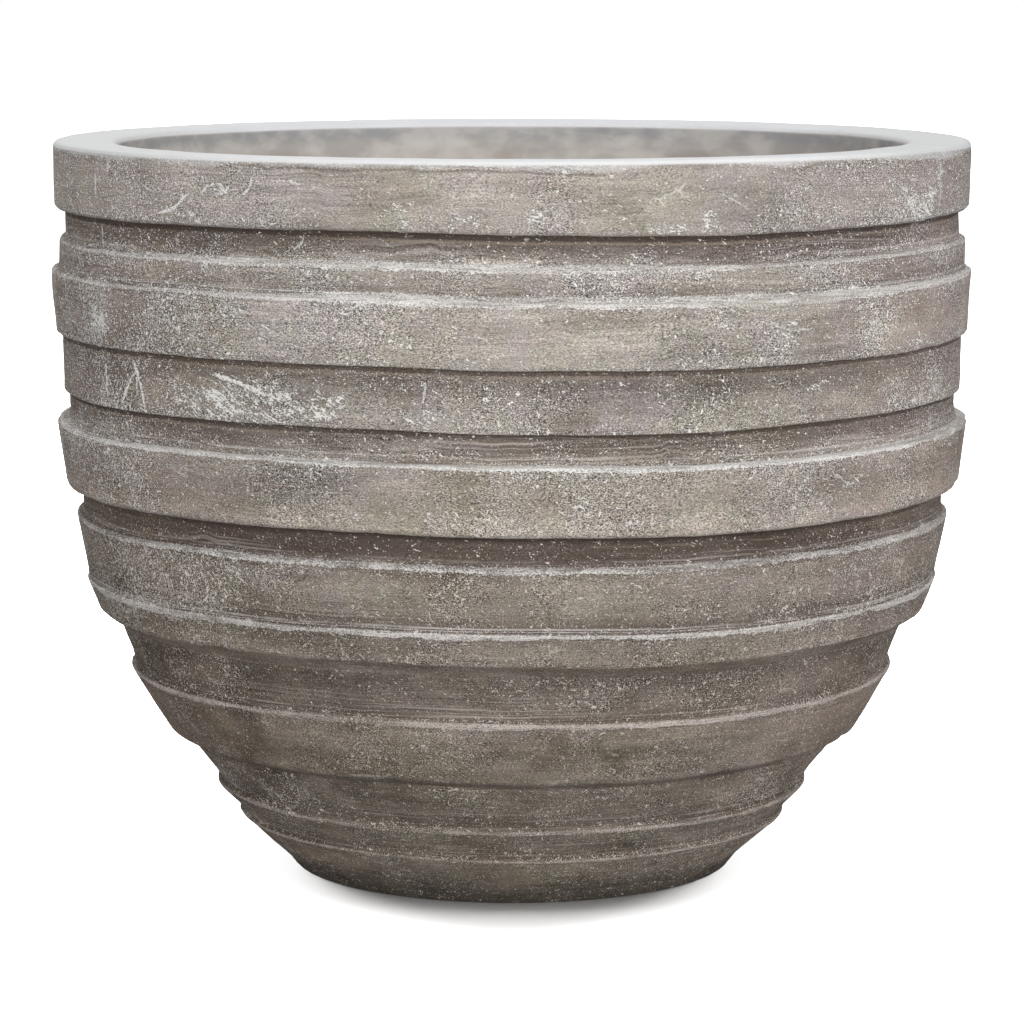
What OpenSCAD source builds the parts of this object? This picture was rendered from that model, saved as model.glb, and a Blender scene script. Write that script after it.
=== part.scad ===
// Large round planter of fired clay with a flat lip and a stack of uneven
// hand-worked bands, and a rubber plug in its drain hole.
// Millimetres, +Z up, origin at the centre of the foot on the ground.

/* [Pot] */
// Outer radius of the lip
rim_r = 214.5; // [190:0.5:240]
// Height from the ground to the top of the lip
pot_h = 341; // [300:1:390]
// Width of the flat lip
lip_w = 30; // [26:0.5:34]
// Wall thickness of the bowl below the lip
wall_t = 24; // [20:0.5:28]
// Rounding of the lip's outer and inner edges
lip_round = 3; // [1:0.5:5]

/* [Foot and floor] */
// Outer radius of the foot ring
foot_r = 104; // [98:1:110]
// Width of the foot ring's flat face
foot_w = 24; // [16:1:30]
// Depth of the hollow inside the foot ring
foot_recess = 5; // [3:0.5:8]
// Height of the floor at the drain hole
floor_z = 28; // [26:0.5:32]
// How far the floor rises from the drain hole to the wall
floor_fall = 3; // [2:0.5:6]

/* [Drain plug] */
// Radius of the drain hole
hole_r = 15; // [12:0.5:18]
// Radius of the plug's flange
flange_r = 23; // [21:0.5:26]
// Thickness of the flange at its middle
flange_t = 5; // [4:0.5:7]
// Gap between the plug's ribs and the hole
plug_gap = 0.1; // [0.05:0.05:0.3]
// Depth of the grooves between the ribs
rib_depth = 1.2; // [0.8:0.2:2]
// Number of sealing ribs
ribs = 4; // [3:1:5]
// Radius of the pull knob
knob_r = 9; // [8:0.5:11]
// Radius of the knob's neck
neck_w = 5; // [4:0.5:6]
// Height of the knob above the flange
knob_h = 15; // [12:0.5:18]

/* [Hidden] */
$fn = 96;

// The band sizes below are those of a pot 341 high with a lip of 214.5, and
// follow the lip and the height when those change.
kr = rim_r / 214.5;
kz = pot_h / 341;

// Outside of the bowl from the ground to the underside of the lip: radius,
// height and rounding of each corner. A step out is an overhang, and a step in
// is a ledge.
bowl = [
    // flared foot and its ledge
    [108.5, 6, 6], [126.5, 22, 6], [130.5, 25.5, 1.2], [128, 26.5, 0.8],
    // low flared band, round on top
    [132.5, 32, 6], [141, 41, 2.5], [139, 43.5, 1],
    // deep cove under the great lower band
    [143, 48, 6], [153.5, 61, 3], [154, 63.5, 1],
    // great lower band
    [163.5, 67, 3], [181, 97, 1.2], [178.5, 98.5, 0.8],
    // recessed strip
    [180, 104, 4], [185.5, 118, 1], [187, 120, 1],
    // overhanging belt
    [195.5, 125, 2.5], [201, 139.5, 0.6], [200, 140.5, 0.4],
    // leaning strip and its ledge
    [205.5, 168, 1.2], [202.5, 169.5, 0.8],
    // narrow groove
    [202.5, 180.5, 1.2],
    // widest belt, with a flat shelf on top
    [210.5, 183, 2.5], [214, 211.5, 1.2], [208, 212.5, 1],
    // groove and upright band
    [208, 226, 0.8], [210.5, 227, 1], [210.5, 253, 1],
    // upper belt, slightly proud of the lip
    [213.5, 254, 2], [215.5, 282, 1.2], [212, 283.5, 0.8],
    // two narrow stepped strips under the lip
    [212, 296, 1.2], [209, 297.5, 0.8], [209, 310, 1.2]
];

// Corner q between p and s, rounded with radius r. The arc is kept within
// half of each neighbouring edge.
function unit(v) = v / norm(v);
function arc(p, q, s, r) =
    let (a = unit(p - q), b = unit(s - q),
         half = acos(max(-0.9999, min(0.9999, a * b))) / 2,
         t = min(r / tan(half), 0.45 * norm(p - q), 0.45 * norm(s - q)),
         rr = t * tan(half),
         c = q + unit(a + b) * rr / sin(half),
         n = max(1, ceil((180 - 2 * half) / 30)),
         u = q + a * t - c, w = q + b * t - c,
         turn = u[0] * w[1] - u[1] * w[0] >= 0 ? 1 : -1,
         sweep = (180 - 2 * half) * turn,
         start = atan2(u[1], u[0]))
    half > 88 || r <= 0 ? [q]
    : [for (i = [0 : n]) c + rr * [cos(start + sweep * i / n), sin(start + sweep * i / n)]];

// Closed outline from corners of [radius, height, rounding]
function rounded(k) =
    let (m = len(k))
    [for (i = [0 : m - 1])
        let (p = k[(i + m - 1) % m], q = k[i], s = k[(i + 1) % m])
        each arc([p[0], p[1]], [q[0], q[1]], [s[0], s[1]], q[2])];

// Inside of the bowl: a smooth curve from the floor's edge up to the upright
// neck, drawn so that the wall stays close to its thickness all the way.
neck_r = rim_r - lip_w;
floor_r = foot_r - 10;
floor_edge = floor_z + floor_fall;
curve_low = [floor_r, floor_edge];
curve_mid = [neck_r, (88 + wall_t) * kz];
curve_top = [neck_r + 1, 225 * kz];
function belly(t) = pow(1 - t, 2) * curve_low + 2 * t * (1 - t) * curve_mid + t * t * curve_top;

outer = concat(
    [[foot_r, 0, 1.5]],
    [for (b = bowl) [b[0] * kr, b[1] * kz, b[2]]],
    [[rim_r - 0.5, 311.5 * kz, 2.5], [rim_r, pot_h, lip_round]]
);
inner = concat(
    [[neck_r, pot_h, lip_round]],
    [for (i = [20 : -1 : 0]) let (p = belly(i / 20)) [p[0], p[1], i == 0 ? 8 : 0]]
);
seat_r = flange_r + 4;
under = [
    [seat_r, floor_z, 0], [hole_r, floor_z, 0], [hole_r, foot_recess, 0],
    [foot_r - foot_w - 4, foot_recess, 2], [foot_r - foot_w, 0, 1.5]
];

module pot_shell() {
    color([0.62, 0.57, 0.52])
    rotate_extrude() polygon(rounded(concat(outer, inner, under)));
}

// Stem of the plug: straight-sided ribs that guide it in the hole, with a
// tapered nose. Above it come the flange that lies on the floor and a knob to
// pull it out by.
stem_r = hole_r - plug_gap;
stem_top = floor_z + 0.2;
stem_low = foot_recess + 1;
nose = 3;
pitch = (stem_top - stem_low - nose) / ribs;
flange_top = stem_top + flange_t;

module drain_plug() {
    color([0.16, 0.15, 0.15])
    rotate_extrude() polygon(concat(
        [[0, stem_low], [stem_r - nose - 1, stem_low], [stem_r - nose * 0.5, stem_low + 0.8],
         [stem_r - rib_depth, stem_low + nose]],
        [for (i = [0 : ribs - 1]) let (z = stem_low + nose + i * pitch) each [
            [stem_r - rib_depth, z + pitch * 0.15], [stem_r, z + pitch * 0.35],
            [stem_r, z + pitch * 0.65], [stem_r - rib_depth, z + pitch * 0.85]]],
        [[stem_r - rib_depth, stem_top], [flange_r - 0.6, stem_top], [flange_r, stem_top + 0.6],
         [flange_r, stem_top + 1.6], [flange_r - 1, stem_top + 2.6],
         [flange_r * 0.7, flange_top - 0.9], [neck_w + 3, flange_top],
         [neck_w + 0.8, flange_top + 1], [neck_w, flange_top + 3]],
        [[neck_w, flange_top + knob_h - 8]],
        [for (a = [-60 : 20 : 60]) let (c = flange_top + knob_h - 4.5)
            [knob_r - 4.5 + 4.5 * cos(a), c + 4.5 * sin(a)]],
        [[knob_r * 0.5, flange_top + knob_h - 0.2], [0, flange_top + knob_h]]
    ));
}

pot_shell();
drain_plug();
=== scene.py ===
import math

import bpy
import numpy as np
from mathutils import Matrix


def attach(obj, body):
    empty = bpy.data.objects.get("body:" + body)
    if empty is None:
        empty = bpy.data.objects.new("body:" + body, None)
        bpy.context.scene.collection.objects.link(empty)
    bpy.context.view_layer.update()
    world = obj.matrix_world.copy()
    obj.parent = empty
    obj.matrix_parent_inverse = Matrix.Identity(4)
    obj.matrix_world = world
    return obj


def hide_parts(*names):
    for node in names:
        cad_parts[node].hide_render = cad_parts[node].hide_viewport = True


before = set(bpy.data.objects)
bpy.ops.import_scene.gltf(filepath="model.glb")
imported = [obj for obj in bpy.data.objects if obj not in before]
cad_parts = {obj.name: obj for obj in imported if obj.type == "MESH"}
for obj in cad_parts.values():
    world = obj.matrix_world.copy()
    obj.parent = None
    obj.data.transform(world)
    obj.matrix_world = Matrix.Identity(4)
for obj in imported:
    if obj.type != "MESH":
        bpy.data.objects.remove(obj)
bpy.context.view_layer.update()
scene = bpy.context.scene
MM = 0.001


# ---------------------------------------------------------------- noise in numpy


def lattice(ix, iy, iz, seed):
    """A repeatable number from 0 to 1 for each whole-number point."""
    h = (
        (ix & 0xFFFFFFFF).astype(np.uint64) * np.uint64(374761393)
        + (iy & 0xFFFFFFFF).astype(np.uint64) * np.uint64(668265263)
        + (iz & 0xFFFFFFFF).astype(np.uint64) * np.uint64(2147483647)
        + np.uint64((seed * 974634599) & 0xFFFFFFFF)
    ) & np.uint64(0xFFFFFFFF)
    h = ((h ^ (h >> np.uint64(13))) * np.uint64(1274126177)) & np.uint64(0xFFFFFFFF)
    h = ((h ^ (h >> np.uint64(16))) * np.uint64(2246822519)) & np.uint64(0xFFFFFFFF)
    h = h ^ (h >> np.uint64(15))
    return h.astype(float) / 4294967295.0


def noise(x, y, z, seed=0):
    """Smooth noise from -1 to 1 with features of about one unit."""
    x, y, z = np.broadcast_arrays(*(np.asarray(v, float) for v in (x, y, z)))
    ix, iy, iz = (np.floor(v).astype(np.int64) for v in (x, y, z))
    fx, fy, fz = x - ix, y - iy, z - iz
    u, v, w = (t * t * t * (t * (t * 6 - 15) + 10) for t in (fx, fy, fz))
    out = 0.0
    for a in (0, 1):
        for b in (0, 1):
            for c in (0, 1):
                weight = (u if a else 1 - u) * (v if b else 1 - v) * (w if c else 1 - w)
                out = out + weight * lattice(ix + a, iy + b, iz + c, seed)
    return out * 2 - 1


def clouds(x, y, z, seed=0, octaves=3, gain=0.5):
    out, amp, total = 0.0, 1.0, 0.0
    for k in range(octaves):
        out = out + amp * noise(x * 2**k, y * 2**k, z * 2**k, seed + 17 * k)
        total += amp
        amp *= gain
    return out / total


def step(lo, hi, v):
    t = np.clip((v - lo) / (hi - lo), 0, 1)
    return t * t * (3 - 2 * t)


# ---------------------------------------------------------------- the pot's mesh

SIDES = 384
theta = np.linspace(-math.pi, math.pi, SIDES, endpoint=False)  # 0 is the front
ring_x, ring_y = np.sin(theta), -np.cos(theta)


def around(wave, seed, octaves=1):
    """Noise along the pot's circumference, with waves of that many millimetres."""
    k = 205.0 / wave
    return clouds(ring_x * k, ring_y * k, seed * 7.31 + 0.5, seed, octaves)


# Corners of the outside in millimetres: radius, height, rounding, rows on the
# rounding, rows on the face that follows, ring, and what the corner is.
# "low" is a band's overhanging lower edge with "up" in the corner behind it,
# and "top" is a band's upper edge with "in" at the back of its ledge.
OUTSIDE = [
    (104.0, 0.0, 2.0, 4, 0, 0, "low"),
    (108.5, 6.0, 6.0, 4, 3, 0, ""),
    (126.5, 22.0, 7.0, 4, 0, 1, ""),
    (130.5, 25.1, 1.8, 4, 0, 1, "top"),
    (128.0, 26.1, 1.0, 2, 1, 1, "in"),
    (132.5, 32.0, 7.0, 4, 1, 2, ""),
    (140.5, 39.9, 3.2, 5, 0, 2, "top"),
    (138.6, 42.4, 1.4, 2, 1, 2, "in"),
    (143.0, 48.0, 7.0, 4, 2, 3, ""),
    (153.5, 61.0, 3.5, 3, 0, 3, ""),
    (154.0, 63.5, 3.0, 3, 1, 3, "up"),
    (163.5, 67.0, 7.0, 5, 8, 3, "low"),
    (180.7, 96.2, 1.8, 4, 0, 4, "top"),
    (178.3, 97.7, 0.9, 2, 1, 4, "in"),
    (180.0, 104.0, 4.0, 3, 2, 4, ""),
    (185.5, 118.0, 1.2, 2, 0, 5, ""),
    (187.0, 119.5, 1.0, 2, 1, 5, "up"),
    (195.4, 124.5, 3.2, 5, 3, 5, "low"),
    (201.0, 139.0, 1.3, 4, 0, 6, "top"),
    (200.0, 140.0, 0.6, 2, 7, 6, "in"),
    (205.5, 168.0, 1.7, 4, 0, 7, "top"),
    (202.5, 169.5, 0.9, 2, 3, 7, "in"),
    (202.5, 180.5, 1.2, 2, 1, 8, "up"),
    (210.5, 183.0, 3.4, 5, 7, 8, "low"),
    (214.0, 212.6, 1.7, 4, 1, 9, "top"),
    (208.0, 213.4, 1.2, 2, 3, 9, "in"),
    (208.0, 226.0, 0.8, 2, 0, 10, "up"),
    (210.5, 227.0, 1.1, 4, 6, 10, "low"),
    (210.5, 253.0, 1.0, 2, 0, 11, "up"),
    (213.5, 254.0, 1.5, 4, 7, 11, "low"),
    (215.5, 282.3, 1.6, 4, 0, 12, "top"),
    (212.0, 283.5, 0.9, 2, 3, 12, "in"),
    (212.0, 296.5, 1.8, 4, 0, 13, "top"),
    (209.0, 298.0, 0.9, 2, 3, 13, "in"),
    (209.0, 310.0, 1.2, 2, 1, 14, "up"),
    (214.0, 311.5, 3.2, 5, 7, 14, "low"),
    (214.5, 341.4, 2.4, 6, 10, 15, "top"),
    (184.5, 341.4, 3.0, 5, 4, 16, "in"),
]
# How far the bands rise and fall round the front and the back, in degrees and
# millimetres; the lip and the ground stay level.
LEAN = [
    (-180, -0.3), (-150, -0.9), (-120, 0.5), (-90, 0.9), (-65, 0.45), (-55, 0.4), (-45, 1.05), (-35, 1.0), (-25, 1.1),
    (-14, 1.1), (-4, 0.1), (5, -0.1), (15, -0.75), (25, -1.1), (36, -0.75), (46, -0.3), (56, 0.05), (66, 0.5),
    (90, 0.9), (120, -0.6), (150, 0.6), (180, -0.3),
]
LEANS = {0: 0.0, 1: 0.3, 2: 0.2, 3: 0.45, 4: 0.7, 15: 0.0, 16: 0.0}
# How far each ring wanders up and down and in and out, in millimetres.
WANDER = {0: 0.0, 1: 0.5, 2: 0.7, 3: 0.6, 14: 0.45, 15: 0.25, 16: 0.2}


def corner_lines():
    """Each corner of the outside as a line round the pot: hand-worked edges that
    wander a little and are chipped here and there."""
    lines = []
    lean = np.interp(np.degrees(theta), *zip(*LEAN))
    lean = sum(np.roll(lean, k) for k in range(-4, 5)) / 9
    for r, z, f, n, m, ring, kind in OUTSIDE:
        size = WANDER.get(ring, 0.8)
        dz = size * (0.60 * around(150, 11 + ring) + 0.35 * around(46, 41 + ring))
        dz = dz + lean * LEANS.get(ring, 1.0)
        dr = size * (0.55 * around(190, 71 + ring) + 0.25 * around(52, 101 + ring))
        ff = np.full(SIDES, f)
        if kind in ("top", "low") and 0 < ring < 16:
            chip = step(0.30, 0.85, around(17, 131 + ring + (kind == "low") * 40, 2))
            depth = {15: 0.7, 14: 1.0}.get(ring, 1.3 if kind == "top" else 1.0)
            dr = dr - chip * depth
            dz = dz + chip * depth * (-0.45 if kind == "top" else 0.35)
            ff = f * (0.88 + 0.35 * around(60, 211 + ring)) + chip * 0.6
        if kind in ("in", "up"):
            dz = dz + 0.18 * around(24, 251 + ring)
            dr = dr + 0.25 * around(38, 291 + ring)
        if ring == 0 and kind == "low":
            dz, dr = np.zeros(SIDES), 0.5 * around(120, 331)
        lines.append(
            (np.stack([r + dr, z + dz], -1), np.maximum(ff, 0.3), n, m, kind, ring)
        )
    return lines


def fillet(p, q, s, f, n):
    """The rounding of corner q between p and s, all round the pot."""
    a, b = p - q, s - q
    la, lb = np.linalg.norm(a, axis=-1), np.linalg.norm(b, axis=-1)
    a, b = a / la[:, None], b / lb[:, None]
    half = np.arccos(np.clip((a * b).sum(-1), -0.9999, 0.9999)) / 2
    t = np.minimum.reduce([f / np.tan(half), 0.46 * la, 0.46 * lb])
    rr = t * np.tan(half)
    mid = a + b
    mid = mid / np.linalg.norm(mid, axis=-1)[:, None]
    c = q + mid * (rr / np.sin(half))[:, None]
    u, w = q + a * t[:, None] - c, q + b * t[:, None] - c
    turn = (math.pi - 2 * half)[:, None]
    k = np.linspace(0, 1, n)[:, None, None]
    return c + (np.sin((1 - k) * turn) * u + np.sin(k * turn) * w) / np.sin(turn)


def plain(points):
    return [np.broadcast_to(np.array(p, float), (SIDES, 2)) for p in points]


lines = corner_lines()
floor_end = np.broadcast_to(np.array([80.0, 0.0]), (SIDES, 2))
neck_next = np.broadcast_to(np.array([185.0, 300.0]), (SIDES, 2))
rows, marks = [], {}
for i, (q, f, n, m, kind, ring) in enumerate(lines):
    before = floor_end if i == 0 else lines[i - 1][0]
    after = neck_next if i == len(lines) - 1 else lines[i + 1][0]
    arc = fillet(before, q, after, f, n)
    if i:  # rows on the face between the corner before and this one
        gap = lines[i - 1][3]
        for k in range(1, gap + 1):
            t = k / (gap + 1)
            rows.append(rows_end * (1 - t) + arc[0] * t)
    marks[i] = (len(rows), len(rows) + n - 1)
    rows.extend(arc)
    rows_end = arc[-1]
outer_rows = len(rows)

# Inside: an upright neck and a smooth bowl, as thick-walled as the outside asks.
low, mid, high = (np.array(v) for v in ((94.0, 31.0), (184.5, 112.0), (185.5, 225.0)))
inner = [(184.5, 336.0), (184.5, 332.0)]
inner += [(184.5 + (1.0 * k / 13), 338.0 - 113.0 * k / 13) for k in range(1, 13)]
for k in range(33):
    t = 1 - k / 32
    inner.append(tuple((1 - t) ** 2 * low + 2 * t * (1 - t) * mid + t * t * high))
inner = inner[:-2]
inner += [(95.2, 32.6), (92.0, 31.2), (88.0, 30.75)]
inner += [(78.0, 30.3), (68.0, 29.85), (58.0, 29.4), (48.0, 28.95), (38.0, 28.5)]
inner += [(31.0, 28.17), (27.4, 28.02), (26.6, 28.0), (20.0, 28.0)]
under = [(15.55, 28.0), (15.12, 27.85), (15.04, 27.4), (15.04, 20.0), (15.04, 12.0)]
under += [(15.04, 5.9), (15.25, 5.25), (15.9, 5.0), (28.0, 5.0), (44.0, 5.0), (60.0, 5.0)]
under += [(74.5, 5.0), (75.6, 4.6), (76.6, 3.7), (78.6, 1.2), (79.4, 0.35), (80.6, 0.0)]
under += [(88.0, 0.0), (96.0, 0.0)]
rows.extend(plain(inner))
inner_rows = len(rows)
rows.extend(plain(under))
prof = np.array(rows)  # row, side, (radius, height)
ROWS = len(prof)

# Lumps and dents, along the profile's own normal.
ahead = np.roll(prof, -1, 0) - np.roll(prof, 1, 0)
ahead /= np.linalg.norm(ahead, axis=-1, keepdims=True) + 1e-9
normal = np.stack([ahead[..., 1], -ahead[..., 0]], -1)
R, Z = prof[..., 0], prof[..., 1]
X, Y = R * ring_x, R * ring_y
is_out = np.zeros((ROWS, 1))
is_out[:outer_rows] = 1
is_in = np.zeros((ROWS, 1))
is_in[outer_rows:inner_rows] = 1
lump = 0.55 * clouds(X / 62, Y / 62, Z / 34, 401, 2)
lump += 0.28 * clouds(X / 19, Y / 19, Z / 13, 421, 2)
rng = np.random.default_rng(20)
for _ in range(260):  # shallow dents from handling
    a, h = rng.uniform(-math.pi, math.pi), rng.uniform(12, 335)
    size, depth = rng.uniform(4.5, 10.0), rng.uniform(0.2, 0.75)
    j = int((a + math.pi) / (2 * math.pi) * SIDES) % SIDES
    k = int(np.argmin(np.abs(Z[:outer_rows, j] - h)))
    d2 = (X - X[k, j]) ** 2 + (Y - Y[k, j]) ** 2 + (Z - Z[k, j]) ** 2
    lump -= is_out * depth * np.exp(-d2 / (size * 0.55) ** 2)
flat_top = step(336, 340.5, Z) * is_out
near_ground = 1 - step(0.5, 5.0, Z)
out_size = is_out * (1 - 0.75 * flat_top) * (1 - near_ground)
# The inside keeps soft rings from turning, and the seat round the drain hole stays true.
turned = 0.45 * np.sin(Z / 2.9 + 1.5 * clouds(X / 90, Y / 90, Z / 60, 441, 2))
in_size = is_in * step(30.0, 60.0, R) * (0.35 + 0.65 * step(29, 60, Z))
push = out_size * lump + in_size * (1.1 * lump + turned * (0.5 + 0.5 * noise(X / 70, Y / 70, Z / 50, 461)))
prof = prof + normal * push[..., None]
# The lip is slightly domed, and stands a little higher at the back.
first, last = marks[len(lines) - 2][0], marks[len(lines) - 1][1]
dome = np.interp(prof[..., 0], [184.5, 188, 193, 199, 205, 210, 213, 214.5], [0.0, 0.2, 0.58, 0.9, 1.0, 0.86, 0.5, 0.1])
dome[:first], dome[last + 1 :] = 0, 0
rear = 0.5 - 0.5 * np.cos(theta)
prof[..., 1] += (0.7 + 0.6 * rear) * dome + 1.2 * rear * step(318, 340, prof[..., 1])
prof[..., 1] = np.maximum(prof[..., 1], 0.0)
R, Z = prof[..., 0], prof[..., 1]
X, Y = R * ring_x, R * ring_y

# Distance along the profile, for marks that follow the bands.
gaps = np.linalg.norm(np.diff(prof, axis=0), axis=-1)
S = np.concatenate([np.zeros((1, SIDES)), np.cumsum(gaps, 0)])
FAR = 60.0


def at(i, end):
    a, b = marks[i]
    return S[{"first": a, "mid": (a + b) // 2, "last": b}[end]]


below_top = np.full_like(S, FAR)  # below a band's upper edge, negative on its ledge
above_in = np.full_like(S, FAR)  # above the back of a ledge, negative on the ledge
below_up = np.full_like(S, FAR)  # below an overhang, 0 on its underside
above_low = np.full_like(S, FAR)  # above a band's lower edge
below_low = np.full_like(S, FAR)  # and below it, from the edge along the underside
ledge_w = np.zeros_like(S)  # how much lime the nearest ledge holds
ledge_low = np.zeros_like(S)  # how far that lime hangs below the edge
ledge_crumb = np.zeros_like(S)  # how crumbly it is
back_w = np.zeros_like(S)  # the same for the wall behind the ledge: how much lime,
back_up = np.zeros_like(S)  # how far it climbs up the wall,
back_second = np.zeros_like(S)  # how clear the second line above the corner is,
back_dark = np.zeros_like(S)  # and how much darker the wall is made
overhang_shade_w = np.zeros_like(S)  # how dark the painted shade under the nearest overhang is
overhang_shade_len = np.ones_like(S)  # and how far down that painted shade goes
corner_shadow_w = np.zeros_like(S)  # how dark the painted shadow in the corner of the nearest overhang is
# Lime, reach below the edge and above the corner in millimetres, crumbliness, second line.
LEDGE = {
    1: (0.58, 0.9, -2.4, 0.20, 0.0), 2: (0.56, 1.0, -3.0, 0.20, 0.1), 4: (0.95, 1.5, -2.4, 0.35, 0.3),
    6: (0.98, 2.2, -1.4, 0.35, 0.45), 7: (0.78, 1.2, -0.9, 0.60, 0.18), 9: (1.0, 0.9, -2.4, 0.20, 0.30),
    12: (1.0, 1.4, 0.9, 0.20, 0.18), 13: (1.0, 1.2, -0.1, 0.35, 0.28), 15: (0.8, 0.8, -8.0, 0.0, 0.0),
}
# Where round the pot the ledges keep less of it: degrees and share.
THIN = {
    13: [(-70, 0.25), (-52, 0.55), (-38, 1.0), (12, 1.0), (30, 0.55), (70, 0.40), (110, 0.9), (150, 0.5), (200, 0.9), (290, 0.25)],
    12: [(-70, 0.20), (-42, 0.25), (-30, 0.50), (-20, 1.0), (36, 1.0), (60, 0.60), (80, 0.45), (120, 0.5), (160, 1.0), (210, 0.9), (290, 0.20)],
    9: [(-70, 0.50), (-48, 0.75), (-30, 1.0), (40, 1.0), (56, 1.25), (76, 1.25), (130, 0.5), (180, 1.0), (240, 0.8), (290, 0.50)],
    7: [(-70, 0.55), (-40, 0.9), (30, 1.0), (60, 0.95), (80, 0.8), (100, 0.5), (160, 1.0), (220, 0.7), (290, 0.55)],
}
# Painted shade under each overhang: strength and how far down it reaches, in millimetres.
OVERHANG_SHADE = {3: (0.25, 5), 5: (0.30, 18), 8: (0.92, 22), 10: (0.68, 11), 11: (0.56, 16), 14: (0.79, 13)}
# Strength of the painted shadow line in each overhang's corner.
CORNER_SHADOW = {3: 0.0, 5: 0.0, 8: 0.5, 10: 0.9, 11: 1.0, 14: 1.0}
# How much darker the wall above each ledge is made.
BACK_DARK = {1: 0.55, 2: 0.65, 4: 0.65, 6: 0.60, 9: 0.15, 12: 0.40}
for i, (q, f, n, m, kind, ring) in enumerate(lines):
    if kind == "top":
        t, b = at(i, "mid"), at(i + 1, "last")
        much, low_mm, up_mm, crumble, second = LEDGE[ring]
        share = np.interp(np.degrees(theta), *zip(*THIN.get(ring, [(0, 1.0)])), period=360)
        much, low_mm, up_mm = much * share**0.6, low_mm * share, up_mm - 4.0 * (1 - share)
        d = np.where(S <= b, t - S, FAR)
        nearest = np.abs(d) < np.abs(below_top)
        ledge_w = np.where(nearest, much, ledge_w)
        ledge_low = np.where(nearest, low_mm, ledge_low)
        ledge_crumb = np.where(nearest, crumble, ledge_crumb)
        below_top = np.where(nearest, d, below_top)
        back = np.where(S >= t, S - b, FAR)
        nearest = np.abs(back) < np.abs(above_in)
        back_w = np.where(nearest, much, back_w)
        back_up = np.where(nearest, up_mm, back_up)
        back_second = np.where(nearest, second, back_second)
        back_dark = np.where(nearest, BACK_DARK.get(ring, 0.0), back_dark)
        above_in = np.where(nearest, back, above_in)
    if kind == "up":
        u, e = at(i, "mid"), at(i + 1, "first")
        d = np.where(S <= u, u - S, np.where(S <= e, 0.0, FAR))
        nearest = d < below_up
        overhang_shade_w = np.where(nearest, OVERHANG_SHADE[ring][0], overhang_shade_w)
        overhang_shade_len = np.where(nearest, OVERHANG_SHADE[ring][1], overhang_shade_len)
        corner_shadow_w = np.where(nearest, CORNER_SHADOW[ring], corner_shadow_w)
        below_up = np.minimum(below_up, d)
        e = at(i + 1, "mid")
        above_low = np.minimum(above_low, np.where(S >= e, S - e, FAR))
        below_low = np.minimum(below_low, np.where(S <= e, e - S, FAR))
lip = np.zeros_like(S)
lip_edge = [i for i, c in enumerate(OUTSIDE) if c[5] == 15][0]
lip[marks[lip_edge][0] + 2 : marks[lip_edge + 1][0] + 4] = 1
in_bowl = np.broadcast_to(is_in, S.shape).copy()
in_bowl[marks[lip_edge + 1][0] + 3 : outer_rows] = 1
rim_face = np.where((S > at(lip_edge - 1, "first")) & (S <= at(lip_edge, "last")), 1.0, 0.0)


def blotch(spots, grow=1.0):
    """Soft blobs on the outside: angle in degrees, height, half width, half height, tilt and strength."""
    out = np.zeros_like(S)
    for deg, h, wide, tall, tilt, power in spots:
        da = (theta - math.radians(deg) + math.pi) % (2 * math.pi) - math.pi
        u, v = R * da, Z - h
        c, s = math.cos(math.radians(tilt)), math.sin(math.radians(tilt))
        u, v = c * u + s * v, -s * u + c * v
        d2 = (u / (wide * grow)) ** 2 + (v / (tall * grow)) ** 2
        out = np.maximum(out, power * np.exp(-(d2**1.5)) * is_out)
    return out


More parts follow.
